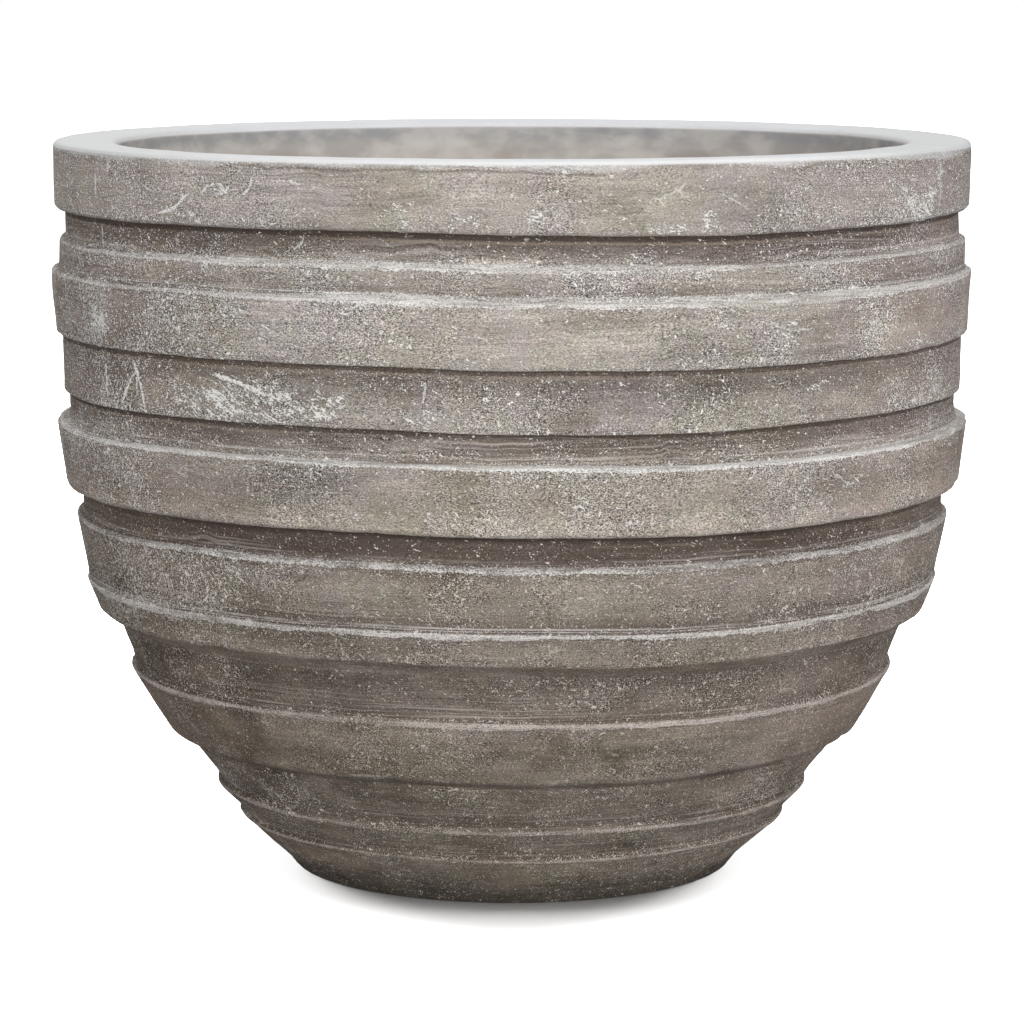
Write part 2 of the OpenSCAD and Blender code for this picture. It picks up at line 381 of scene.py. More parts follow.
LIME = [
    # upright band in the middle: the long pale scuff on the left
    (-37.2, 238.0, 12, 3.2, -12, 1.50), (-42.0, 236.0, 11, 5.0, -10, 0.90), (-28.2, 239.0, 16, 3.0, -22, 1.20),
    (-23.6, 234.5, 11, 5.0, -20, 1.05), (-20.6, 238.5, 6, 4.5, 30, 1.00), (-33.0, 231.5, 44, 3.6, 0, 0.85),
    (-9.7, 232.5, 14, 4.0, 0, 0.80), (-32.0, 240.0, 40, 9.0, 0, 0.55), (38.9, 242.7, 7, 2.5, 25, 0.6), (53.8, 231.5, 7, 4.0, -20, 0.6),
    (50.0, 238.0, 5, 2.0, 40, 0.5),
    # lip's band
    (-36.6, 328.0, 6, 4.0, 15, 0.60), (-47.0, 326.0, 8, 6.0, 0, 0.45),
    (-54.4, 316.0, 5, 5.0, 0, 0.8), (-12.6, 318.0, 3.5, 9.0, 8, 0.6), (-5.9, 317.1, 5, 4.0, 0, 0.75),
    (2.3, 318.4, 8, 4.0, 0, 0.6), (13.3, 315.1, 6, 3.0, 0, 0.55), (17.6, 313.0, 14, 3.0, 0, 0.7),
    (22.9, 316.5, 7, 4.0, 0, 0.8), (58.0, 316.5, 15, 6.5, -10, 1.15), (60.4, 321.0, 6, 8.0, 0, 1.0), (63.2, 329.0, 3.0, 9.0, 0, 0.95),
    # upper belt
    (-59.1, 267.1, 12, 8.0, 20, 1.15), (-33.8, 276.9, 6, 3.0, 0, 0.8), (-30.0, 268.1, 6, 4.0, 0, 0.6),
    (33.1, 267.6, 10, 6.0, 0, 0.65), (57.2, 257.5, 6, 4.5, 0, 0.85), (25.0, 272.0, 6, 4.0, 0, 0.6),
    # widest belt
    (-17.9, 191.6, 3.0, 3.0, 0, 1.0), (-20.5, 191.6, 2.2, 2.2, 0, 0.8), (-8.2, 188.8, 12, 4.0, 0, 0.5),
    (60.7, 187.7, 1.2, 7.0, 0, 0.8), (44.0, 198.0, 9, 4.0, 10, 0.55), (20.0, 190.0, 12, 3.5, 0, 0.5),
    # lower bands
    (-53.9, 141.5, 15, 2.6, 0, 1.0), (-40.1, 128.8, 4.0, 5.0, 0, 0.75), (-36.0, 160.0, 12, 5.0, 0, 0.5),
    (-38.2, 90.0, 3.6, 3.2, 0, 0.75), (-13.2, 85.1, 3.2, 3.0, 0, 0.9), (30.3, 70.0, 7, 1.6, 0, 0.8),
    (14.0, 160.0, 10, 4.0, 0, 0.45), (48.0, 158.0, 12, 4.0, 0, 0.45),
    # round the back
    (112.0, 240.0, 20, 6.0, -12, 0.9), (128.0, 236.0, 10, 4.0, 20, 0.8), (152.0, 322.0, 10, 7.0, 30, 0.8),
    (175.0, 317.0, 14, 4.0, 0, 0.7), (-165.0, 268.0, 14, 6.0, -15, 0.85), (-140.0, 242.0, 9, 5.0, 10, 0.6),
    (-120.0, 318.0, 8, 8.0, 45, 0.8), (-100.0, 236.0, 15, 5.0, 8, 0.8), (-84.0, 322.0, 5, 8.0, 20, 0.7),
    (98.0, 195.0, 10, 4.0, 0, 0.6), (140.0, 190.0, 4, 4.0, 0, 0.9), (-150.0, 192.0, 12, 4.0, 0, 0.6),
    (-128.0, 130.0, 5, 5.0, 0, 0.7), (120.0, 86.0, 4, 3.0, 0, 0.8), (-170.0, 88.0, 6, 3.0, 0, 0.7),
    (86.0, 268.0, 12, 7.0, 10, 0.75), (160.0, 142.0, 16, 2.4, 0, 0.9), (-110.0, 142.0, 12, 2.0, 0, 0.7),
]
# Smoother paler areas, and darker patches: stains, and on the left of the front, painted shade.
PALE = [
    (-3.0, 264.0, 32, 13, 0, 1.0), (9.0, 262.0, 22, 9, 0, 0.6), (22.0, 200.0, 26, 9, 0, 0.6),
    (-45.0, 200.0, 22, 9, 0, 0.35), (60.0, 262.0, 26, 12, 0, 0.6), (-2.0, 322.0, 22, 7, 0, 0.5),
    (42.0, 325.0, 26, 8, 0, 0.6), (-24.0, 325.0, 22, 8, 0, 0.5), (0.0, 150.0, 40, 8, 0, 0.4),
    (100.0, 266.0, 34, 12, 0, 0.8), (-130.0, 264.0, 34, 12, 0, 0.9), (150.0, 200.0, 34, 10, 0, 0.7),
    (-95.0, 326.0, 30, 8, 0, 0.6), (165.0, 326.0, 30, 8, 0, 0.6), (-160.0, 150.0, 40, 8, 0, 0.5),
    (24.0, 133.0, 20, 5, 0, 0.6), (38.0, 133.0, 16, 5, 0, 0.5), (45.0, 90.0, 30, 10, 0, 0.9), (58.0, 86.0, 24, 12, 0, 0.8),
    (20.0, 92.0, 22, 6, 0, 0.5), (55.0, 158.0, 20, 8, 0, 0.5), (-52.0, 160.0, 18, 8, 0, 0.4),
    (-20.0, 160.0, 12, 5, 0, 0.4), (-24.0, 244.0, 14, 5, 0, 0.6),
]
DULL = [
    (25.0, 327.0, 50, 10, 0, 0.22), (27.0, 316.0, 26, 5, 0, 0.22), (24.0, 264.0, 40, 9, 0, 0.25),
    (38.0, 262.0, 22, 9, 0, 0.20), (18.0, 243.0, 36, 9, 0, 0.30), (24.0, 246.0, 22, 6, 0, 0.25),
    (22.0, 233.0, 22, 7, 0, 0.22), (20.0, 220.0, 18, 6, 0, 0.28), (-22.0, 220.0, 14, 5, 0, 0.25),
    (-24.0, 206.0, 26, 8, 0, 0.34), (-30.0, 196.0, 20, 6, 0, 0.20), (33.0, 192.0, 30, 7, 0, 0.14),
    (-22.0, 176.0, 24, 5, 0, 0.24), (33.0, 176.0, 18, 5, 0, 0.40), (-38.0, 112.0, 14, 10, 0, 0.25),
    (-18.0, 112.0, 20, 6, 0, 0.18), (-42.0, 90.0, 12, 12, 0, 0.25), (-6.0, 78.0, 14, 5, 0, 0.18),
    (-20.0, 12.0, 14, 8, 0, 0.25), (-50.0, 268.0, 26, 12, 0, 0.20), (-58.0, 240.0, 16, 12, 0, 0.15),
    (110.0, 325.0, 40, 10, 0, 0.22), (-140.0, 200.0, 34, 10, 0, 0.30), (140.0, 262.0, 30, 9, 0, 0.25),
    (-110.0, 262.0, 26, 10, 0, 0.25), (175.0, 240.0, 30, 9, 0, 0.28), (90.0, 130.0, 24, 8, 0, 0.22),
    (-62.0, 268.0, 34, 14, 0, 0.12), (-46.0, 84.0, 34, 14, 0, 0.12), (-170.0, 90.0, 24, 10, 0, 0.22), (120.0, 160.0, 26, 8, 0, 0.22), (-90.0, 160.0, 26, 9, 0, 0.2),
]


def scratches(marks_in):
    """Thin lines on the outside: how far each point is from the nearest one, with
    its side as the sign, and how strong and how wide that one is, in millimetres."""
    away = np.full_like(S, FAR)
    power, wide = np.zeros_like(S), np.full_like(S, 0.5)
    for strength, width, points in marks_in:
        spots = np.array([(math.radians(a), h) for a, h in points])
        near, past = np.full_like(S, FAR), np.zeros_like(S)
        for k, ((a0, h0), (a1, h1)) in enumerate(zip(spots[:-1], spots[1:])):
            da = (theta - a0 + math.pi) % (2 * math.pi) - math.pi
            u, v = R * da, Z - h0
            du, dv = 212.0 * (a1 - a0), h1 - h0
            size = math.hypot(du, dv)
            along = (u * du + v * dv) / size**2
            t = np.clip(along, 0, 1)
            d = np.hypot(u - t * du, v - t * dv)
            d = np.where(u * dv - v * du < 0, -d, d)
            over = size * np.maximum(-along if k == 0 else 0, along - 1 if k == len(spots) - 2 else 0)
            nearest = np.abs(d) < np.abs(near)
            near = np.where(nearest, d, near)
            past = np.where(nearest, np.maximum(over, 0), past)
        closer = (np.abs(near) < np.abs(away)) & (is_out > 0)
        away = np.where(closer, near, away)
        power = np.where(closer, strength * (1 - step(0.0, 2.0, past)), power)
        wide = np.where(closer, width, wide)
    return away, power * (1 - step(2.5, 6.5, np.abs(away))), wide


SCRATCH = [
    # upright band
    (1.3, 1.9, [(-37.2, 247.8), (-33.7, 244.8), (-30.4, 241.0)]),
    (1.0, 1.3, [(-52.4, 249.0), (-51.0, 240.0), (-50.2, 231.0)]),
    (0.85, 1.2, [(-53.0, 242.4), (-54.2, 237.0), (-55.3, 231.0)]),
    (0.6, 0.5, [(-10.0, 247.7), (-10.4, 239.0), (-10.0, 230.7)]),
    (0.75, 1.3, [(-59.6, 246.0), (-59.2, 236.0)]),
    # lip's band
    (0.95, 1.0, [(-45.6, 316.6), (-43.3, 318.7), (-40.4, 326.0)]),
    (0.8, 0.7, [(-38.2, 326.6), (-37.2, 330.6), (-35.4, 330.4), (-34.6, 327.6), (-36.2, 325.4)]),
    (0.9, 0.8, [(-31.0, 333.2), (-31.5, 328.8), (-32.6, 325.2)]),
    (0.7, 0.6, [(-28.4, 332.3), (-26.2, 333.0), (-24.6, 331.0)]),
    (0.7, 1.3, [(-59.5, 330.5), (-59.8, 322.0)]),
    (0.7, 1.3, [(-56.2, 338.0), (-56.4, 332.0)]),
    (0.5, 0.7, [(-49.5, 331.0), (-48.2, 327.0), (-46.6, 326.0)]),
    (0.6, 1.0, [(63.0, 334.0), (63.4, 322.0), (62.6, 315.0)]),
    (0.5, 0.6, [(50.6, 331.0), (53.4, 325.5), (55.0, 326.0)]),
    (0.5, 0.6, [(24.0, 328.0), (27.5, 322.0)]),
    # groove under the lip
    (0.6, 1.2, [(-61.0, 307.5), (-60.8, 300.0)]),
    (0.6, 0.6, [(-25.0, 308.5), (-25.4, 305.0), (-26.4, 303.5)]),
    # belts
    (0.6, 0.7, [(-61.0, 273.0), (-58.5, 266.0), (-59.5, 261.0)]),
    (0.5, 0.6, [(-48.0, 272.0), (-44.0, 270.0), (-42.5, 266.0)]),
    (0.5, 0.6, [(30.0, 274.0), (33.5, 268.0), (37.0, 268.5)]),
    (0.6, 0.8, [(60.2, 192.0), (61.0, 187.0), (60.6, 183.5)]),
    (0.5, 0.6, [(41.0, 204.0), (44.5, 198.0)]),
    (0.5, 0.7, [(-26.0, 68.0), (-21.0, 69.0)]),
    # round the back
    (0.9, 1.3, [(108.0, 246.0), (113.0, 241.0), (118.0, 236.0)]),
    (0.7, 0.7, [(127.0, 249.0), (129.0, 240.0), (128.0, 231.0)]),
    (0.8, 0.9, [(150.0, 318.0), (153.0, 326.0), (155.0, 331.0)]),
    (0.6, 0.7, [(172.0, 332.0), (174.0, 326.0), (173.0, 319.0)]),
    (0.7, 0.8, [(-166.0, 274.0), (-162.0, 268.0), (-157.0, 266.0)]),
    (0.6, 0.7, [(-141.0, 248.0), (-139.0, 238.0)]),
    (0.8, 0.9, [(-122.0, 313.0), (-119.0, 321.0), (-118.0, 330.0)]),
    (0.7, 0.8, [(-104.0, 240.0), (-99.0, 236.0), (-95.0, 230.0)]),
    (0.6, 0.7, [(-86.0, 331.0), (-83.0, 322.0)]),
    (0.6, 0.7, [(86.0, 274.0), (89.0, 267.0), (93.0, 265.0)]),
    (0.6, 0.7, [(140.0, 204.0), (143.0, 196.0), (141.0, 189.0)]),
    (0.5, 0.7, [(-150.0, 158.0), (-146.0, 150.0)]),
]
lime = blotch(LIME)
scratch_d, scratch_w, scratch_size = scratches(SCRATCH)
pale = blotch(PALE)
dull = blotch(DULL)
# Places in the grooves that were combed round and round.
comb = blotch([
    (2.0, 219.0, 56, 6, 0, 1.0), (46.0, 218.0, 36, 6, 0, 0.3), (-14.0, 303.0, 34, 4, 0, 0.45), (38.0, 303.0, 40, 5, 0, 0.5),
    (24.0, 173.0, 34, 4, 0, 0.5), (-40.0, 174.0, 30, 4, 0, 0.5), (-8.0, 107.0, 40, 5, 0, 0.5), (-110.0, 219.0, 60, 6, 0, 0.9),
    (150.0, 219.0, 60, 6, 0, 0.9), (-160.0, 303.0, 50, 5, 0, 0.6), (110.0, 174.0, 44, 4, 0, 0.6), (200.0, 107.0, 50, 5, 0, 0.5),
])

xyz = np.stack([X, Y, Z], -1).reshape(-1, 3) * MM
index = np.arange(ROWS * SIDES).reshape(ROWS, SIDES)
up, right = np.roll(index, -1, 0), np.roll(index, -1, 1)
faces = np.stack([index, right, np.roll(right, -1, 0), up], -1).reshape(-1, 4)

mesh = bpy.data.meshes.new("pot_shell_mesh")
mesh.from_pydata(xyz.tolist(), [], faces.tolist())
mesh.polygons.foreach_set("use_smooth", np.ones(len(faces), bool))

flow = np.stack([0.2 * ring_x + 0 * S, 0.2 * ring_y + 0 * S, S * MM], -1)
for name, values in {
    "below_top": below_top,
    "above_in": above_in,
    "below_up": below_up,
    "above_low": above_low,
    "below_low": below_low,
    "ledge_w": ledge_w,
    "ledge_low": ledge_low,
    "ledge_crumb": ledge_crumb,
    "back_w": back_w,
    "back_up": back_up,
    "back_second": back_second,
    "back_dark": back_dark,
    "overhang_shade_w": overhang_shade_w,
    "overhang_shade_len": overhang_shade_len,
    "corner_shadow_w": corner_shadow_w,
    "lip": lip,
    "rim_face": rim_face,
    "inside": in_bowl,
    "lime": lime,
    "pale": pale,
    "dull": dull,
    "comb": comb,
    "scratch_d": scratch_d,
    "scratch_w": scratch_w,
    "scratch_size": scratch_size,
}.items():
    layer = mesh.attributes.new(name, "FLOAT", "POINT")
    layer.data.foreach_set("value", np.ascontiguousarray(values, np.float32).ravel())
layer = mesh.attributes.new("flow", "FLOAT_VECTOR", "POINT")
layer.data.foreach_set("vector", flow.astype(np.float32).ravel())

# Places on the surface that start anew on every band and groove, so that no patch
# runs on from one into the next: flat ones in metres, and ones in space.
band = np.zeros(ROWS, int)
for i, (q, f, n, m, kind, ring) in enumerate(lines):
    if kind in ("in", "up"):
        band[marks[i][1] :] += 1
band_r = np.array([R[band == k].mean() if (band == k).any() else 200.0 for k in range(band.max() + 1)])
ri, ci = np.meshgrid(np.arange(ROWS), np.arange(SIDES), indexing="ij")
c_row = np.stack([ri, ri, (ri + 1) % ROWS, (ri + 1) % ROWS], -1)
c_col = np.stack([ci, ci + 1, ci + 1, ci], -1)
c_band = np.repeat(band[ri][..., None], 4, -1)
c_ang = (c_col / SIDES * 2 - 1) * math.pi
c_s = S[c_row, c_col % SIDES]
sheet = np.stack([c_ang * band_r[c_band] * MM, c_s * MM + c_band * 0.71, 0 * c_s], -1)
spot = np.stack([X[c_row, c_col % SIDES] * MM, Y[c_row, c_col % SIDES] * MM, Z[c_row, c_col % SIDES] * MM + c_band * 0.37], -1)
for name, values in {"sheet": sheet, "spot": spot}.items():
    layer = mesh.attributes.new(name, "FLOAT_VECTOR", "CORNER")
    layer.data.foreach_set("vector", np.ascontiguousarray(values, np.float32).ravel())

# A map for the surface: once round the pot across, and along the profile upwards,
# with most of the height given to the outside.
weight = np.where(np.arange(ROWS - 1) < outer_rows, 1.0, 0.42)
weight = np.where(np.arange(ROWS - 1) >= inner_rows, 0.25, weight)
run = np.concatenate([[0.0], np.cumsum(gaps.mean(1) * weight)])
close = float(np.linalg.norm(prof[0] - prof[-1], axis=-1).mean()) * 0.25
v_row = np.append(run, run[-1] + close) / (run[-1] + close) * 0.996 + 0.002
u_col = np.arange(SIDES + 1) / SIDES * 0.996 + 0.002
uv = np.stack(
    [
        np.stack([u_col[ci], u_col[ci + 1], u_col[ci + 1], u_col[ci]], -1),
        np.stack([v_row[ri], v_row[ri], v_row[ri + 1], v_row[ri + 1]], -1),
    ],
    -1,
)
mesh.uv_layers.new(name="OFBake").data.foreach_set("uv", uv.astype(np.float32).ravel())
mesh.validate()
pot = bpy.data.objects.new("clay_pot", mesh)
scene.collection.objects.link(pot)


# ---------------------------------------------------------------- node helpers


class Nodes:
    """A material written as a chain of calls."""

    def __init__(self, name):
        self.mat = bpy.data.materials.new(name)
        self.mat.use_nodes = True
        self.tree = self.mat.node_tree
        self.tree.nodes.clear()

    def add(self, kind, **settings):
        node = self.tree.nodes.new(kind)
        for key, value in settings.items():
            setattr(node, key, value)
        return node

    def put(self, socket, value):
        if isinstance(value, bpy.types.NodeSocket):
            self.tree.links.new(value, socket)
        elif value is not None:
            socket.default_value = value

    def math(self, op, a, b=None, c=None, clamp=False):
        n = self.add("ShaderNodeMath", operation=op, use_clamp=clamp)
        for socket, value in zip(n.inputs, (a, b, c)):
            self.put(socket, value)
        return n.outputs[0]

    def span(self, v, lo, hi, to_lo=0.0, to_hi=1.0, kind="SMOOTHSTEP"):
        n = self.add("ShaderNodeMapRange", interpolation_type=kind, clamp=True)
        for socket, value in zip(n.inputs, (v, lo, hi, to_lo, to_hi)):
            self.put(socket, value)
        return n.outputs[0]

    def noise(self, vec, scale, detail=3.0, rough=0.5, warp=0.0, seed=0.0):
        if seed:
            vec = self.place(vec, (1, 1, 1), (seed, seed * 0.37, -seed * 0.61))
        n = self.add("ShaderNodeTexNoise", noise_dimensions="3D", normalize=True)
        self.put(n.inputs["Vector"], vec)
        n.inputs["Scale"].default_value = scale
        n.inputs["Detail"].default_value = detail
        n.inputs["Roughness"].default_value = rough
        n.inputs["Distortion"].default_value = warp
        return n.outputs[0]

    def cells(self, vec, scale, feature="F1", out="Distance", rand=1.0):
        n = self.add("ShaderNodeTexVoronoi", voronoi_dimensions="3D", feature=feature)
        self.put(n.inputs["Vector"], vec)
        n.inputs["Scale"].default_value = scale
        n.inputs["Randomness"].default_value = rand
        return n.outputs[out]

    def place(self, vec, scale, offset=(0, 0, 0)):
        n = self.add("ShaderNodeMapping")
        self.put(n.inputs["Vector"], vec)
        n.inputs["Scale"].default_value = scale
        n.inputs["Location"].default_value = offset
        return n.outputs[0]

    def mix(self, factor, a, b, mode="MIX"):
        n = self.add("ShaderNodeMix", data_type="RGBA", blend_type=mode, clamp_factor=True)
        self.put(n.inputs[0], factor)
        for socket, value in ((n.inputs[6], a), (n.inputs[7], b)):
            self.put(socket, (*value, 1.0) if isinstance(value, tuple) else value)
        return n.outputs[2]

    def dim(self, colour, amount):
        """The colour times a number."""
        n = self.add("ShaderNodeVectorMath", operation="SCALE")
        self.put(n.inputs[0], colour)
        self.put(n.inputs["Scale"], amount)
        return n.outputs[0]

    def attr(self, name, out="Fac"):
        return self.add("ShaderNodeAttribute", attribute_name=name).outputs[out]

    def curve(self, v, stops, kind="EASE"):
        """A curve through (place, value) stops."""
        n = self.add("ShaderNodeValToRGB")
        ramp = n.color_ramp
        ramp.interpolation = kind
        while len(ramp.elements) < len(stops):
            ramp.elements.new(0.5)
        for e, (p, value) in zip(ramp.elements, stops):
            e.position = p
            e.color = (value, value, value, 1)
        self.put(n.inputs[0], v)
        return n.outputs[0]

    def surface(self, colour, rough, height, bump_mm, strength=1.0, specular=0.3):
        bump = self.add("ShaderNodeBump")
        bump.inputs["Strength"].default_value = strength
        bump.inputs["Distance"].default_value = bump_mm * MM
        self.put(bump.inputs["Height"], height)
        bsdf = self.add("ShaderNodeBsdfPrincipled")
        self.put(bsdf.inputs["Base Color"], colour)
        self.put(bsdf.inputs["Roughness"], rough)
        bsdf.inputs["Specular IOR Level"].default_value = specular
        self.tree.links.new(bump.outputs[0], bsdf.inputs["Normal"])
        end = self.add("ShaderNodeOutputMaterial")
        self.tree.links.new(bsdf.outputs[0], end.inputs["Surface"])
        return bsdf


def rgb(r, g, b):
    """A colour given as screen values from 0 to 255, in linear light."""
    return tuple(
        c / 12.92 if c <= 0.04045 else ((c + 0.055) / 1.055) ** 2.4
        for c in (r / 255, g / 255, b / 255)
    )


# ---------------------------------------------------------------- the clay

g = Nodes("worn_clay")
P = g.add("ShaderNodeTexCoord").outputs["Object"]
FLOW = g.attr("flow", "Vector")
SHEET, SPOT = g.attr("sheet", "Vector"), g.attr("spot", "Vector")
d_top, d_in, d_up, d_low = (g.attr(n) for n in ("below_top", "above_in", "below_up", "above_low"))
w_ledge, w_overhang_shade, w_reach, w_corner_shadow = (g.attr(n) for n in ("ledge_w", "overhang_shade_w", "overhang_shade_len", "corner_shadow_w"))
a_lip, a_rim, a_in, a_lime, a_pale = (g.attr(n) for n in ("lip", "rim_face", "inside", "lime", "pale"))
xyz_node = g.add("ShaderNodeSeparateXYZ")
g.put(xyz_node.inputs[0], P)
height_z = xyz_node.outputs[2]
away_n = g.math("SQRT", g.math("ADD", g.math("MULTIPLY", xyz_node.outputs[0], xyz_node.outputs[0]), g.math("MULTIPLY", xyz_node.outputs[1], xyz_node.outputs[1])))
side_n = g.math("ABSOLUTE", g.math("DIVIDE", xyz_node.outputs[0], away_n))  # 0 at the front and back, 1 at the sides
back_n = g.math("DIVIDE", xyz_node.outputs[1], away_n)  # -1 at the front, 1 at the back


def times(a, b):
    return g.math("MULTIPLY", a, b)


def plus(a, b):
    return g.math("ADD", a, b)


def off(noise_value, amount):
    """Noise about 0, that many times as strong."""
    return g.math("MULTIPLY", g.math("SUBTRACT", noise_value, 0.5), amount)


def fade(d, lo, hi):
    """1 where d is below lo, falling to 0 at hi."""
    return g.span(d, lo, hi, 1.0, 0.0)


# How light the clay is at each height, as a share of the pot's height: partly its own tone and partly painted shade,
# darker towards the ground where the lower bands face down, with a painted contact shadow at the foot and lighter steps
# that offset the shade in some grooves.
HEIGHT_TONE_AND_SHADE = [
    (0.0, 0.11), (0.012, 0.155), (0.026, 0.26), (0.045, 0.455), (0.06, 0.47), (0.10, 0.42), (0.165, 0.455), (0.182, 0.42),
    (0.198, 0.51), (0.235, 0.53), (0.26, 0.65), (0.30, 0.485), (0.345, 0.41), (0.352, 0.74), (0.375, 0.61), (0.40, 0.52),
    (0.44, 0.58), (0.476, 0.73), (0.52, 0.76), (0.535, 1.12), (0.57, 0.85), (0.61, 0.83), (0.642, 0.89), (0.69, 0.89),
    (0.718, 0.87), (0.747, 0.93), (0.775, 1.05), (0.82, 0.98), (0.845, 0.94), (0.89, 0.98), (0.93, 1.01), (0.956, 1.02),
]

# Clouds of purple grey and olive grey, with paler and browner patches in them.
wide = g.noise(SPOT, 15.0, 3.0, 0.6)
patch = g.noise(SPOT, 44.0, 4.0, 0.65, seed=3.1)
stain = g.noise(g.place(FLOW, (24, 24, 64)), 1.0, 4.0, 0.65)
clay = g.mix(g.span(wide, 0.36, 0.64), rgb(168, 160, 154), rgb(167, 160, 149))
mottle = times(plus(off(patch, 0.9), off(stain, 1.3)), g.math("MULTIPLY_ADD", a_rim, -0.30, 1.0))
mottle = times(mottle, g.span(times(height_z, 1 / 0.341), 0.28, 0.48, 1.45, 1.0))
clay = g.dim(clay, plus(mottle, 1.0))
clay = g.mix(g.span(mottle, 0.02, -0.25, 0.0, 0.6), clay, (1.06, 1.0, 0.93), "MULTIPLY")
clay = g.mix(times(a_pale, 0.45), clay, rgb(186, 179, 172))
# Darker patches: stains, and painted shade on the left of the front.
clay = g.dim(clay, g.math("SUBTRACT", 1.0, times(g.attr("dull"), g.span(patch, 0.3, 0.7, 1.3, 0.7, "LINEAR"))))
hue = g.noise(SPOT, 110.0, 2.0, 0.5, seed=11.3)
clay = g.mix(1.0, clay, g.mix(g.span(hue, 0.42, 0.58), (1.01, 0.99, 1.015), (0.99, 1.0, 0.975)), "MULTIPLY")

# Darker towards the ground, partly the clay's tone and partly painted shade, and browner towards the ground.
level_z = times(height_z, 1 / 0.341)
tone_and_shade = g.curve(level_z, HEIGHT_TONE_AND_SHADE, "LINEAR")
clay = g.dim(clay, tone_and_shade)
clay = g.mix(g.span(level_z, 0.15, 0.80, 1.0, 0.0), clay, (1.06, 1.0, 0.905), "MULTIPLY")
clay = g.mix(g.span(level_z, 0.03, 0.14, 1.0, 0.0), clay, (1.02, 1.0, 0.95), "MULTIPLY")
# Painted light and shade by side: darker and warmer at both sides (less on the rim's band), darker on the left, bluer
# on the right and lighter low on the right, and on the rim's band lighter on the left and darker on the right.
clay = g.mix(times(g.span(side_n, 0.55, 0.90), g.math("MULTIPLY_ADD", a_rim, -0.5, 1.0)), clay, (0.94, 0.885, 0.845), "MULTIPLY")
side_x = g.math("DIVIDE", xyz_node.outputs[0], away_n)
clay = g.mix(g.span(side_x, -0.40, -0.80), clay, (0.905, 0.865, 0.84), "MULTIPLY")
clay = g.mix(g.span(side_x, 0.40, 0.80), clay, (1.02, 1.0, 1.05), "MULTIPLY")
clay = g.mix(times(g.span(side_x, 0.40, 0.80), g.span(level_z, 0.50, 0.30)), clay, (1.16, 1.15, 1.17), "MULTIPLY")
clay = g.mix(times(g.span(side_x, -0.40, -0.80), a_rim), clay, (1.195, 1.215, 1.215), "MULTIPLY")
clay = g.mix(times(g.span(side_x, 0.40, 0.80), a_rim), clay, (0.955, 0.95, 0.93), "MULTIPLY")
# Painted shade: surfaces that face upwards are made darker on the left side.
turned = g.add("ShaderNodeSeparateXYZ")
g.put(turned.inputs[0], g.add("ShaderNodeNewGeometry").outputs["Normal"])
flat_top = times(g.span(turned.outputs[2], 0.35, 0.75), g.math("SUBTRACT", 1.0, g.math("MAXIMUM", a_lip, a_in)))
clay = g.dim(clay, g.math("MULTIPLY_ADD", times(flat_top, g.span(side_x, -0.45, -0.80)), -0.30, 1.0))
chalk = g.mix(g.span(level_z, 0.30, 0.76), rgb(204, 195, 183), rgb(234, 231, 226))
# Painted light: the chalky crumbs are brighter towards the sides.
chalk = g.dim(chalk, g.span(side_n, 0.50, 0.90, 1.0, 1.14))

# Brush marks that follow the bands, strongest in the grooves and on the low bands.
brush = g.noise(g.place(FLOW, (12, 12, 340)), 1.0, 3.0, 0.62)
hair = g.noise(g.place(FLOW, (36, 36, 1400), (2, 5, 1)), 1.0, 1.0, 0.5)
where_brush = g.noise(g.place(FLOW, (7, 7, 30), (9, 1, 4)), 1.0, 2.0, 0.55)
brushed = g.math("MAXIMUM", g.span(where_brush, 0.40, 0.66, 0.30, 0.85), fade(d_in, 2.0, 14.0))
brushed = g.math("MAXIMUM", brushed, g.span(level_z, 0.12, 0.30, 0.95, 0.0))
streaks = plus(off(brush, 0.9), off(hair, 1.1))
clay = g.dim(clay, g.math("MULTIPLY_ADD", streaks, brushed, 1.0))

# Rough grain in clusters.
cluster = g.noise(SPOT, 24.0, 4.0, 0.68, seed=7.7)
rough_area = g.math("SUBTRACT", g.span(cluster, 0.36, 0.64), times(a_pale, 0.5), clamp=True)
outside = g.math("MULTIPLY_ADD", a_in, -0.92, 1.0)
grain = g.noise(g.place(FLOW, (1150, 1150, 1950)), 1.0, 1.0, 0.5)
flake = g.noise(P, 430.0, 2.0, 0.6, seed=5.9)
coarse = times(off(grain, 3.6), times(outside, g.span(rough_area, 0, 1, 0.54, 1.36, "LINEAR")))
coarse = times(times(coarse, g.span(side_n, 0.45, 0.85, 1.0, 1.05)), g.math("MULTIPLY_ADD", times(a_rim, g.span(side_n, 0.35, 0.7, 1.0, 0.4)), -0.30, 1.0))
clay = g.dim(clay, g.math("MAXIMUM", plus(coarse, 1.0), 0.3))

# Painted shade under the overhangs, and a thin painted shadow line in the corner.
ragged_c = g.noise(g.place(FLOW, (60, 60, 60), (3, 1, 8)), 1.0, 2.0, 0.6)
long_groove = g.noise(g.place(FLOW, (6, 6, 24), (2, 9, 7)), 1.0, 2.0, 0.5)
wobble_noise = g.noise(g.place(FLOW, (30, 30, 150), (4, 4, 4)), 1.0, 3.0, 0.6)
reach = times(w_reach, g.span(wobble_noise, 0.3, 0.7, 0.65, 1.35, "LINEAR"))
overhang_shade_mask = times(fade(g.math("DIVIDE", d_up, reach), 0.25, 1.05), w_overhang_shade)
overhang_shade = times(overhang_shade_mask, g.span(side_n, 0.60, 0.92, 1.0, 0.62))
clay = g.mix(times(overhang_shade, 0.86), clay, rgb(67, 52, 44))
corner_shadow = times(fade(plus(d_up, off(ragged_c, 1.0)), 0.35, 0.95), w_corner_shadow)
clay = g.mix(times(corner_shadow, 0.70), clay, rgb(64, 52, 42))
